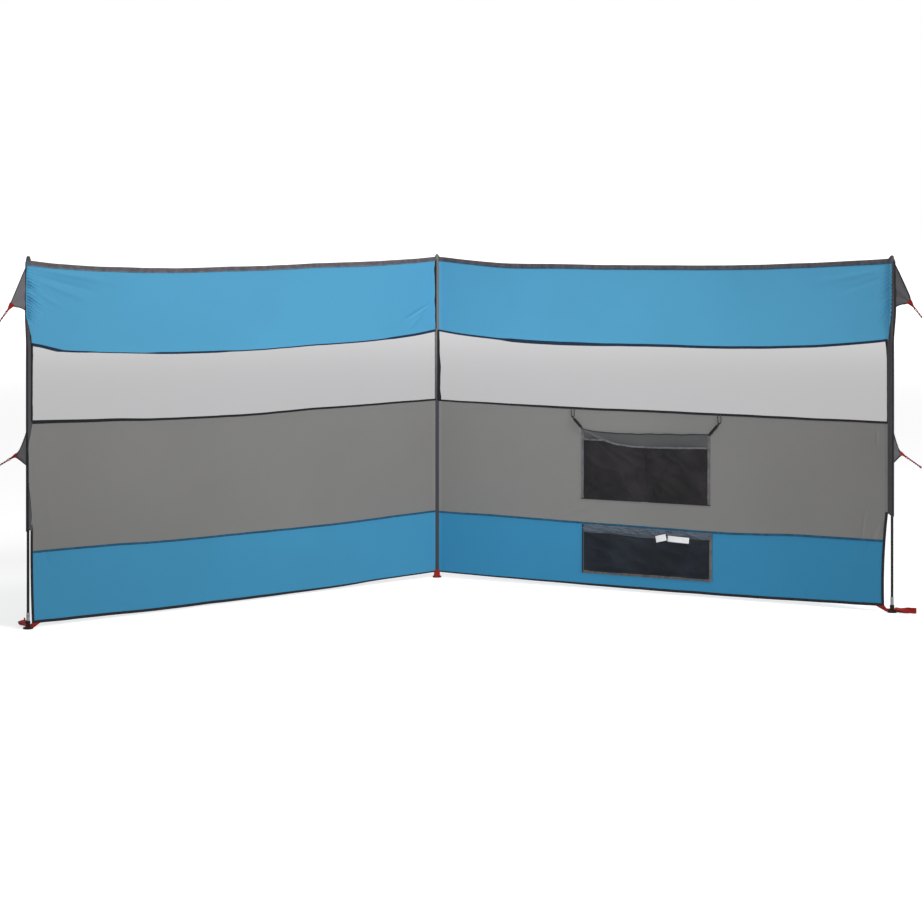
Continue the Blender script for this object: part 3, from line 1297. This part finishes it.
def strap_web(piece, side):
    """Webbing from under the cloth's corner down to the foot, in a slack fold."""
    corner = END_FLAP - EDGE_REACH[side] + EDGE_PULL[side][1]
    low = seam_height(BOTTOM_EDGE, side, END_U - 0.03)
    rows = []
    for share in even(34):
        inward = between(corner + 0.038, 0.0100, share)
        top = between(low + 0.0014, 0.0165, ease(corner - 0.002 - inward, 0.0, 0.010))
        bottom = between(low - 0.0020, 0.0012, clamp((corner + 0.036 - inward) / (corner + 0.036 - 0.0245)))
        bottom = between(bottom, STRAP_FLOOR, ease(0.0240 - inward, 0.0, 0.0036))
        bulge, fold = 0.0016 * sin(share * pi), 0.0014 * sin(share * 9.0)
        face = [(0.0, 1.0, bulge), (0.35, 1.4, bulge + fold), (0.7, 1.4, bulge - fold), (1.0, 1.0, bulge)]
        section = [(rise, STRAP_HALF * wide + bend) for rise, wide, bend in face]
        section += [(rise, bend - STRAP_HALF * wide) for rise, wide, bend in reversed(face)]
        rows.append([end_pole_point(side, inward, v, between(bottom, top, rise)) for rise, v in section])
    piece.solid(rows)


def strap_ring(piece, side):
    """The webbing that lies flat round the neck of the foot."""
    rows = []
    for angle in [index * 2 * pi / 40 for index in range(40)]:
        outer = 0.0140 + 0.0007 * sin(2 * angle + 0.6)
        steps = [(FOOT_NECK, 0.0001), (outer - 0.0006, 0.0), (outer, 0.0008), (outer - 0.0006, 0.0016),
                 (FOOT_NECK, 0.0015)]
        rows.append([foot_plan(side, reach * cos(angle), reach * sin(angle), STRAP_FLOOR + lift)
                     for reach, lift in steps])
    piece.skin(rows, ring=True, loop=True)


def loop_lean(side, share):
    """How far the peg loop has turned over at this share of its length."""
    if side == "left":
        return radians(74) * ease(share, 0.30, 1.0)
    return radians(76) * (1 - ease(share, 0.18, 0.92))


def loop_plan():
    """The loop's closed line as (out, aside): two sides pinched together, a round end and a tight root."""
    near, far = LOOP_START + 0.004, LOOP_START + LOOP_LENGTH - LOOP_GAP
    side = [(between(near, far, share), 0.0018 * sin(share * pi) ** 2 - LOOP_GAP) for share in even(30)]
    end = [(far + LOOP_GAP * cos(angle), LOOP_GAP * sin(angle)) for angle in even(15, -pi / 2, pi / 2)[1:-1]]
    root = [(near + 0.0035 * cos(angle), LOOP_GAP * sin(angle)) for angle in even(7, pi / 2, 1.5 * pi)[1:-1]]
    return side + end + [(out, -aside) for out, aside in reversed(side)] + root


def strap_loop(piece, side):
    """Peg loop: webbing doubled back on itself, which leaves the foot on edge and turns over on its way."""
    turn = LOOP_TURN[side]
    sideways = foot_plan(side, 0, 1, 0, turn) - foot_plan(side, 0, 0, 0, turn)
    path, ways = [], []
    for out, aside in loop_plan():
        share = clamp((out - LOOP_START) / LOOP_LENGTH)
        lean = loop_lean(side, share)
        stand = STRAP_HALF_WIDTH * cos(lean) + LOOP_GAP * sin(lean) * 0.5 + LOOP_LIFT[side] * share ** 2
        floor = STRAP_FLOOR * (1 - 0.75 * ease(share, 0.1, 0.6))
        apart = sideways * cos(lean) - RISE * sin(lean)
        path.append(foot_plan(side, out, 0, floor + stand, turn) + apart * aside)
        ways.append(RISE * cos(lean) + sideways * sin(lean))
    rows = ribbon_rows(path, ways, [STRAP_HALF_WIDTH - 0.0004] * len(path), STRAP_HALF, closed=True)
    piece.skin(rows, ring=True, loop=True)
    for face in (1, -1):
        for step in (0.022, 0.025):
            low = foot_plan(side, LOOP_START + step, face * (LOOP_GAP + 0.0012), STRAP_FLOOR + 0.004, turn)
            piece.stitches([low, low + RISE * 0.014], sideways * face, 0.0026)


def strap_tail(piece):
    """Cut end of the left strap's webbing, which stands up beside the collar."""
    path = [foot_plan("left", 0.0125 + 0.0055 * share + 0.0010 * sin(share * 6), -0.0040,
                      between(0.0240, 0.049, share), 0.3) for share in even(12)]
    sideways = foot_plan("left", 0, 1, 0, 0.9) - foot_plan("left", 0, 0, 0, 0.9)
    piece.solid(ribbon_rows(path, [sideways] * 12, [0.0060] * 12, STRAP_HALF))


def end_foot_strap(side):
    piece = Piece()
    strap_web(piece, side)
    strap_ring(piece, side)
    strap_loop(piece, side)
    if side == "left":
        strap_tail(piece)
    return piece.made(f"{side}_foot_webbing", [WEBBING, RED_THREAD], "red_webbing", f"{side}_foot_strap")


# The centre strap's way down: its distance from the pole's axis, its height, and half its width in mm
CENTRE_STRAP = (
    (0.0114, 0.0396, 12.3), (0.0122, 0.0300, 12.4), (0.0130, 0.0200, 13.0), (0.0150, 0.0125, 14.0),
    (0.0190, 0.0092, 14.4), (0.0222, 0.0078, 14.6), (0.0230, 0.0050, 14.4), (0.0226, 0.0016, 13.6),
)
CENTRE_RING = ((FOOT_NECK, 0.0), (0.0150, 0.0), (0.0150, 0.0016), (FOOT_NECK, 0.0016))


def centre_band(piece, face):
    """One face of the centre strap, tucked down over the foot and curled round it."""
    path = smooth_path([Vector((0, -face * reach, z)) for reach, z, _ in CENTRE_STRAP], 0.0016)
    sizes = []
    for point in path:
        nearest = min(CENTRE_STRAP, key=lambda stop: abs(stop[1] - point.z) + abs(stop[0] - abs(point.y)))
        sizes.append(nearest[2] * 0.001)
    for _ in range(3):
        sizes = [sizes[0]] + [sum(near) / 3 for near in zip(sizes, sizes[1:], sizes[2:])] + [sizes[-1]]
    rows = []
    for point, row in zip(path, ribbon_rows(path, [Vector((1, 0, 0))] * len(path), sizes, STRAP_HALF)):
        bend = 21.0 * ease(0.016 - point.z, 0.0, 0.010)
        rows.append([corner + Vector((0, face * bend * corner.x ** 2, 0)) for corner in row])
    box = [(-0.009, 0.036), (0.009, 0.036), (0.009, 0.024), (-0.009, 0.024), (-0.009, 0.036), (0.009, 0.024)]
    line = [Vector((x, -face * (0.0129 + (0.036 - z) * 0.09), z)) for x, z in box]
    piece.solid(rows).stitches(line, Vector((0, -face, 0)), 0.0030)


def centre_foot_strap():
    """Band that hangs from the centre sleeve in front and behind and is tucked down over the foot."""
    piece = Piece()
    for face in (1, -1):
        centre_band(piece, face)
    rows = []
    for angle in [index * 2 * pi / 48 for index in range(48)]:
        way = Vector((cos(angle), sin(angle), 0))
        rows.append([way * size + RISE * (STRAP_FLOOR + lift) for size, lift in CENTRE_RING])
    piece.skin(rows, ring=True, loop=True)
    return piece.made("centre_foot_webbing", [WEBBING, RED_THREAD], "red_webbing", "centre_foot_strap")


# Pockets on the right bay

POCKET_LEFT, POCKET_RIGHT, POCKET_FOOT = 0.778, 1.432, 0.425
POCKET_MIDDLE = (POCKET_LEFT + POCKET_RIGHT) / 2
POCKET_HEAD = (0.763, 0.752)
POCKET_SAG = 0.020
POCKET_MARGIN = 0.014
NET_TOP = 0.690
NET_HEM = 0.0075
NET_OFF = 0.0011
# The nets' mouth above NET_TOP, as (u, millimetres)
MOUTH_LINE = ((0.778, 18), (0.890, 20), (0.985, 1), (1.080, -5), (1.432, 2))
# Folds that leave the backing's left corner: slope, way down, height and width
CORNER_FOLDS = ((0.52, 0.004, 0.0060, 0.0040), (0.34, 0.016, 0.0046, 0.0040), (0.80, 0.006, 0.0036, 0.0044),
                (0.22, 0.030, 0.0030, 0.0050))
LOW_LEFT, LOW_RIGHT, LOW_FOOT = 0.784, 1.443, 0.076
LOW_NET_TOP = 0.267
LOW_FRAME = 0.009


def on_right(u, z, lift):
    return on_cloth("right", u, z, lift)


def pocket_top(u):
    """Upper edge of the backing, which sags most towards its left corner."""
    share = clamp((u - POCKET_LEFT) / (POCKET_RIGHT - POCKET_LEFT))
    uneven = 0.0022 * wander((u, 0.0), 21.0, 13.0) * sin(pi * share)
    return between(*POCKET_HEAD, share) - POCKET_SAG * sin(pi * sqrt(share)) + uneven


def pocket_slack(u, z):
    """How far the backing hangs off the cloth: loose at its top, with folds that leave its left corner."""
    held = sin(pi * clamp((u - POCKET_LEFT) / (POCKET_RIGHT - POCKET_LEFT)))
    rise = clamp((z - POCKET_FOOT) / (pocket_top(u) - POCKET_FOOT))
    near = 1 - ease(u, POCKET_LEFT + 0.05, POCKET_LEFT + 0.20)
    crease = sum(
        height * exp(-(((u - POCKET_LEFT) * slope + z - POCKET_HEAD[0] + start) / width) ** 2)
        for slope, start, height, width in CORNER_FOLDS
    )
    fold = 0.0012 * sin((u * 1.6 - z) * 34.0) * rise ** 2
    return 0.0017 + 0.0050 * held ** 0.8 * rise ** 3 + crease * near + fold * held


def pocket_mouth(u):
    """Height of the hanging nets' mouth above NET_TOP."""
    return stop_value(MOUTH_LINE, u) + 0.0010 * wander((u, 0.0), 17.0, 11.0)


def low_head(u):
    return seam_height(MIDDLE_FOOT, "right", u) - 0.005


def low_slack(u, z):
    """Wrinkles of the thin backing in the band above the net."""
    loose = ease(z, LOW_NET_TOP - 0.004, LOW_NET_TOP + 0.012)
    wrinkle = 1 - 2 * abs(wander((u * 1.3 + z * 2.2, z * 3.4 - u * 0.4), 12.0, 2.0))
    finer = 1 - 2 * abs(wander((u * 2.0 - z, z * 6.0), 17.0, 5.0))
    return 0.0017 + (0.0050 * max(wrinkle, 0.0) + 0.0026 * max(finer, 0.0)) * loose


def low_mouth(u):
    share = (u - LOW_LEFT) / (LOW_RIGHT - LOW_LEFT)
    return 0.003 * (1 - share) - 0.007 * sin(pi * share) + 0.0030 * wander((u, 0.0), 11.0, 21.0)


def backing(columns, shares, foot, head, slack):
    """A pocket's backing sheet, hung before the cloth."""
    rows = []
    for share in shares:
        places = [(u, between(foot, head(u), share)) for u in columns]
        rows.append([on_right(u, z, slack(u, z)) for u, z in places])
    return Piece().skin(rows)


class Net(namedtuple("Net", "left right foot top depth slack mouth crumple")):
    """A net that bows off its backing and is sewn to it round three sides."""

    def bow(self, u, z):
        """How far it stands off its backing, fullest below its mouth."""
        middle, half = (self.left + self.right) / 2, (self.right - self.left) / 2
        across = clamp(1 - ((u - middle) / half) ** 2)
        rise = clamp((z - self.foot) / (self.top - self.foot))
        full = 0.22 + 0.78 * sin(pi * (0.12 + 0.50 * rise)) ** 1.2
        return self.depth * across * full * ease(rise, -0.02, 0.16)

    def rows(self, columns, count):
        """The net itself, crumpled below its mouth."""
        rows = []
        for share in even(count):
            row = []
            for u in even(columns, self.left, self.right):
                z = between(self.foot, self.top + self.mouth(u), share)
                bow = self.bow(u, z)
                ridge = 1 - 2.4 * abs(wander((u * 0.8 + z * 1.1, z - u * 0.35), 11.0, 6.0))
                ripple = 0.0009 * wander((u, z), 26.0, 6.0) + self.crumple * ridge
                held = ease(bow, 0.0, 0.006) * ease(share, -0.1, 0.2) * (1 - ease(share, 0.84, 0.96))
                row.append(on_right(u, z, self.slack(u, z) + NET_OFF + bow + ripple * held))
            rows.append(row)
        return rows

    def along_mouth(self, columns, section):
        """Rings of a tape folded over its mouth."""
        rows = []
        for u in even(columns, self.left, self.right):
            top = self.top + self.mouth(u)
            lift = self.slack(u, top) + NET_OFF + self.bow(u, top)
            rows.append([on_right(u, top + rise, lift + out) for rise, out in section])
        return rows


COMPARTMENTS = (
    (POCKET_LEFT + POCKET_MARGIN, POCKET_MIDDLE), (POCKET_MIDDLE, POCKET_RIGHT - POCKET_MARGIN),
)
HANGING_NETS = [
    Net(left, right, POCKET_FOOT + 0.001, NET_TOP, 0.019, pocket_slack, pocket_mouth, 0.0030)
    for left, right in COMPARTMENTS
]
LOW_POCKET_NET = Net(
    LOW_LEFT + LOW_FRAME, LOW_RIGHT - LOW_FRAME, LOW_FOOT + LOW_FRAME, LOW_NET_TOP, 0.020, low_slack,
    low_mouth, 0.0042,
)


def hanging_backing():
    columns = even(220, POCKET_LEFT, POCKET_RIGHT)
    sheet = backing(columns, strip_shares(80), POCKET_FOOT, pocket_top, pocket_slack)
    return sheet.made("hanging_pocket_sheet", [BACKING], "dark_cloth", "pocket_backing", thickness=0.0008)


def hanging_net():
    piece = Piece()
    for net in HANGING_NETS:
        piece.skin(net.rows(90, 60))
    return piece.made("hanging_pocket_mesh", [NET], "net", "pocket_net")


def hanging_hem():
    """Pale tape folded over the mouth of the nets in one run."""
    fold = [(-NET_HEM, 0.0006), (-NET_HEM, 0.0014), (-NET_HEM / 2, 0.0018), (0.0002, 0.0014), (0.0010, 0.0),
            (0.0002, -0.0014), (-NET_HEM / 2, -0.0016), (-NET_HEM, -0.0012)]
    near, far = HANGING_NETS
    tape, seam = (near.along_mouth(70, section) + far.along_mouth(70, section)[1:]
                  for section in (fold, [(0.002 - NET_HEM, 0.0018)]))
    piece = Piece().solid(tape).stitches([row[0] for row in seam], FRONT["right"])
    return piece.made("hanging_pocket_hem", [PALE_TAPE, DARK_THREAD], "pale_tape", "pocket_hem")


def pocket_band(piece, u, near, far, finish, tall):
    """A band of tape up the pocket: to the backing's top edge if it is tall, else to the nets' mouth."""
    rows, marks = [], []
    top = pocket_top(u + (near + far) / 2) if tall else NET_TOP + pocket_mouth(u)
    over = 0.0 if tall else 0.0008
    section = ((near, 0.0004), (near + 0.0003, 0.0011), (far - 0.0003, 0.0011), (far, 0.0004))
    for z in even(60, POCKET_FOOT, top - 0.001):
        rows.append([on_right(u + step, z, pocket_slack(u + step, z) + out + over) for step, out in section])
        marks.append(on_right(u, z, pocket_slack(u, z) + 0.0022))
    piece.solid(rows, finish)
    if not tall:
        piece.stitches(marks, FRONT["right"], finish=2)


def pocket_seams():
    """Pale side margins, thin dark seams beside and between the nets, a bound foot and a piped top edge."""
    piece = Piece()
    pocket_band(piece, POCKET_LEFT, 0.0, POCKET_MARGIN - 0.001, 0, True)
    pocket_band(piece, POCKET_RIGHT, 0.001 - POCKET_MARGIN, 0.0, 0, True)
    for u, half in ((POCKET_LEFT + POCKET_MARGIN, 0.0012), (POCKET_MIDDLE, 0.0010),
                    (POCKET_RIGHT - POCKET_MARGIN, 0.0012)):
        pocket_band(piece, u, -half, half, 1, False)
    rows = []
    for u in even(160, POCKET_LEFT - 0.0005, POCKET_RIGHT + 0.0005):
        foot = POCKET_FOOT + 0.005 * exp(-((u - POCKET_MIDDLE) / 0.012) ** 2)
        rows.append([on_right(u, foot + rise, out) for rise, out in
                     ((-0.0010, 0.0006), (-0.0010, 0.0032), (0.0034, 0.0036), (0.0040, 0.0014))])
    piece.solid(rows, 1)
    piping = [on_right(u, pocket_top(u), pocket_slack(u, pocket_top(u)) + 0.0004)
              for u in even(130, POCKET_LEFT, POCKET_RIGHT)]
    piece.tube(piping, 0.0019, 10, 0.05, 1)
    return piece.made("hanging_pocket_seams", [MARGIN_TAPE, EDGING, DARK_THREAD], "binding_tape")


# The pocket's upper corners, with their way outward
HANGERS = ((POCKET_LEFT, POCKET_HEAD[0], -1), (POCKET_RIGHT, POCKET_HEAD[1], 1))
CORD_OFFSET = 0.046
CORD_LENGTH = 0.042
CORD_HALF = 0.0080


def cord_loops():
    """Dark grey cord loops sewn under the window seam."""
    piece = Piece()
    for corner_u, _, outward in HANGERS:
        u = corner_u + outward * CORD_OFFSET
        head = seam_height(WINDOW_SILL, "right", u)
        down = [(-CORD_HALF, head + 0.001), (-CORD_HALF, head - 0.014), (-CORD_HALF, head - 0.030)]
        round_end = [(CORD_HALF * cos(angle), head - CORD_LENGTH + CORD_HALF * (1 + sin(angle)))
                     for angle in even(9, pi, 2 * pi)]
        corners = down + round_end + [(-step, z) for step, z in reversed(down)]
        path = [on_right(u + step, z, 0.0034) for step, z in corners]
        piece.tube(smooth_path(path, 0.002), 0.0016, 10, 0.08)
    return piece.made("hanging_loops", [LOOP_CORD], "binding_tape", "pocket_loops")


def elastic_hangers():
    """Elastic cord from each loop to the pocket's corner, with a tapered toggle on it."""
    piece = Piece()
    for corner_u, corner_z, outward in HANGERS:
        u = corner_u + outward * CORD_OFFSET
        start = on_right(u, seam_height(WINDOW_SILL, "right", u) - CORD_LENGTH + 0.0005, 0.0075)
        end = on_right(corner_u - outward * 0.006, corner_z - 0.006, 0.0085)
        path = straight(start, end, 0.0020)
        barrel = [ease(share, 0.08, 0.26) * (1 - ease(share, 0.80, 0.98)) for share in even(len(path))]
        piece.tube(path, [0.0022 + 0.0036 * swell for swell in barrel], 16, 0.02)
        ring = [start + Vector((BAY_COS * cos(angle), -BAY_SIN * cos(angle), sin(angle))) * 0.0032
                for angle in [index * 2 * pi / 20 for index in range(20)]]
        piece.tube(ring + ring[:1], 0.0010, 8, 0.0)
    return piece.made("elastic_toggles", [PLASTIC], "black_plastic", "pocket_elastics")


def low_backing():
    columns = even(260, LOW_LEFT, LOW_RIGHT)
    sheet = backing(columns, even(76), LOW_FOOT, low_head, low_slack)
    return sheet.made("low_pocket_sheet", [GAUZE], "dark_cloth", "low_pocket_backing", thickness=0.0008)


def low_net():
    piece = Piece().skin(LOW_POCKET_NET.rows(200, 60))
    return piece.made("low_pocket_mesh", [LOW_NET], "net", "low_pocket_net")


def low_frame():
    """Tape bound round the low pocket: dark on the left, pale on the right and grey-brown along the foot."""
    piece = Piece()
    section = ((0.0, 0.0008), (-0.0006, 0.0026), (LOW_FRAME / 2, 0.0036), (LOW_FRAME, 0.0030),
               (LOW_FRAME, 0.0012))
    for u, inward, wide, snagged, finish in ((LOW_LEFT, 1, 0.6, 0.0012, 2), (LOW_RIGHT, -1, 1.5, 0.0, 3)):
        rows, marks = [], []
        for share in even(90):
            z = between(LOW_FOOT, low_head(u), share)
            snag = snagged * sin(z * 2 * pi / 0.011)
            steps = [(step * wide + (snag if step > 0.001 else 0.0), out + 0.001) for step, out in section]
            rows.append([on_right(u + inward * step, z, out) for step, out in steps])
            marks.append(on_right(u + inward * 0.0068 * wide, z, 0.0046))
        piece.solid(rows, finish).stitches(marks, FRONT["right"])
    rows, marks = [], []
    for u in even(110, LOW_LEFT, LOW_RIGHT):
        uneven = 1 + 0.45 * wander((u, 0.0), 14.0, 31.0)
        rows.append([on_right(u, LOW_FOOT + step * uneven, out + 0.0003) for step, out in section])
        marks.append(on_right(u, LOW_FOOT + 0.0050, 0.0040))
    piece.solid(rows).stitches(marks, FRONT["right"])
    finishes = [FRAME_TAPE, DARK_THREAD, EDGING, PALE_TAPE]
    return piece.made("low_pocket_tape", finishes, "binding_tape", "low_pocket_frame")


def low_mouth_tape():
    """Narrow tape folded over the low net's mouth."""
    fold = [(-0.0060, 0.0006), (-0.0060, 0.0012), (-0.0030, 0.0015), (0.0, 0.0012), (0.0008, 0.0),
            (0.0, -0.0012), (-0.0060, -0.0010)]
    piece = Piece().solid(LOW_POCKET_NET.along_mouth(130, fold))
    return piece.made("low_pocket_mouth", [EDGING], "binding_tape")


# Middle of each tag (u, z), its width and height, and its tilt
TAGS = ((1.198, 0.264, 0.052, 0.030, radians(14)), (1.283, 0.262, 0.104, 0.027, radians(-3)))


def care_tags():
    """Two blank white satin tags sewn in at the pocket's mouth, slightly curled."""
    piece = Piece()
    for tag_u, tag_z, width, height, tilt in TAGS:
        rows = []
        for up in even(9):
            row = []
            for along in even(17):
                a, b = (along - 0.5) * width, (up - 0.5) * height
                u = tag_u + a * cos(tilt) - b * sin(tilt)
                z = tag_z + a * sin(tilt) + b * cos(tilt)
                curl = 0.0020 * (1 - up) ** 2 + 0.0008 * sin(along * 5.0)
                row.append(on_right(u, z, 0.0090 + LOW_POCKET_NET.bow(u, min(z, LOW_NET_TOP)) + curl))
            rows.append(row)
        piece.skin(rows)
    return piece.made("blank_tags", [TAG], "tag_white", "care_tags", thickness=0.0005)


# Putting it together

for side in SIDES:
    strips = {strip: cloth_strip(side, strip) for strip in STRIPS}
    top_tape, seam_trim = top_binding(side), seam_tapes(side)
    foot_trim = [bottom_binding(side), edge_binding(side)]
    sleeve = end_sleeve(side)
    sleeve_edging(side)
    pole_cap(side)
    end_foot_strap(side)
    for level in STAY_HEADING:
        cloth, hem = gusset(side, level), gusset_hem(side, level)
        guy_line(side, level)

centre_sleeve()
side_tapes()
centre_foot_strap()
on_each_stay(webbing_tab).made("gusset_tabs", [WEBBING, RED_THREAD], "red_webbing", "guy_tabs")
on_each_stay(line_slider).made("line_runners", [PLASTIC], "black_plastic", "guy_sliders")
on_each_stay(ground_peg).made("wire_pegs", [METAL], "bright_metal", "guy_pegs")

hanging_backing()
pocket_seams()
hanging_net()
hanging_hem()
cord_loops()
elastic_hangers()
low_backing()
low_frame()
low_net()
low_mouth_tape()
care_tags()


# Studio

FLOOR_EDGE = 600.0
FLOOR_GLOW = 0.60
FADE_FROM, FADE_TO = 6.0, 30.0  # metres from the centre pole
ROOM_LIGHT = 0.40
PHOTO_WIDTH = 922
FOCAL_PIXELS = 2365.8
HORIZON_ROW = 238.6


def placed(name, data):
    """An object of the studio, in the scene."""
    holder = bpy.data.objects.new(name, data)
    bpy.context.collection.objects.link(holder)
    return holder


def studio_floor():
    """Plain pale floor that keeps the shadow and fades into the white room far away."""
    finish = Finish("pale_floor")
    seen = finish.seen_white()
    far = (finish.x * finish.x + finish.y * finish.y).step(FADE_FROM ** 2, FADE_TO ** 2)
    paint = finish.mixed((0.70, 0.70, 0.70), (0.72, 0.72, 0.72), finish.cloudy(3.0, 2.0))
    glow = finish.mixed((0, 0, 0), (1, 1, 1), seen * (far * (1 - FLOOR_GLOW) + FLOOR_GLOW))
    mesh = bpy.data.meshes.new("studio_floor")
    corners = [(-FLOOR_EDGE, -FLOOR_EDGE, 0), (FLOOR_EDGE, -FLOOR_EDGE, 0), (FLOOR_EDGE, FLOOR_EDGE, 0),
               (-FLOOR_EDGE, FLOOR_EDGE, 0)]
    mesh.from_pydata(corners, [], [(0, 1, 2, 3)])
    mesh.materials.append(finish.surface(paint, 0.9, 0.1, emission_color=glow, emission_strength=1.0))
    floor = placed("studio_floor", mesh)
    floor.location.z = -0.0005


def studio_room():
    """Even room light; the room reads white to the eye and in reflections."""
    world = bpy.data.worlds.new("studio_room")
    bpy.context.scene.world = world
    room = Nodes(world)
    strength = room.seen_white() * (1 - ROOM_LIGHT) + ROOM_LIGHT
    background = room.output("Background", {}, {"Color": (1, 1, 1, 1), "Strength": strength})
    room.add("OutputWorld", {}, {"Surface": background})


def soft_light(name, place, target, size, power, spread=180):
    lamp = bpy.data.lights.new(name, "AREA")
    lamp.shape = "DISK"
    lamp.size = size
    lamp.energy = power
    lamp.spread = radians(spread)
    holder = placed(name, lamp)
    holder.location = place
    holder.rotation_euler = (Vector(target) - Vector(place)).to_track_quat("-Z", "Y").to_euler()


studio_floor()
studio_room()
soft_light("key", (5.2, -6.4, 6.8), (0.0, -0.7, 0.8), 2.4, 515)
soft_light("fill", (-3.5, -6.0, 2.5), (0.45, -0.3, 0.9), 1.0, 7.5, 34)

lens = bpy.data.cameras.new("photo_camera")
lens.sensor_width = 36.0
lens.lens = FOCAL_PIXELS / PHOTO_WIDTH * lens.sensor_width
lens.shift_y = (HORIZON_ROW - PHOTO_WIDTH / 2) / PHOTO_WIDTH
lens.clip_end = 1000.0
camera = placed("photo_camera", lens)
camera.location = (-1.226, -11.494, 1.654)
camera.rotation_euler = (radians(90), 0, radians(-6.67))
bpy.context.scene.camera = camera
bpy.context.scene.view_settings.view_transform = "Standard"
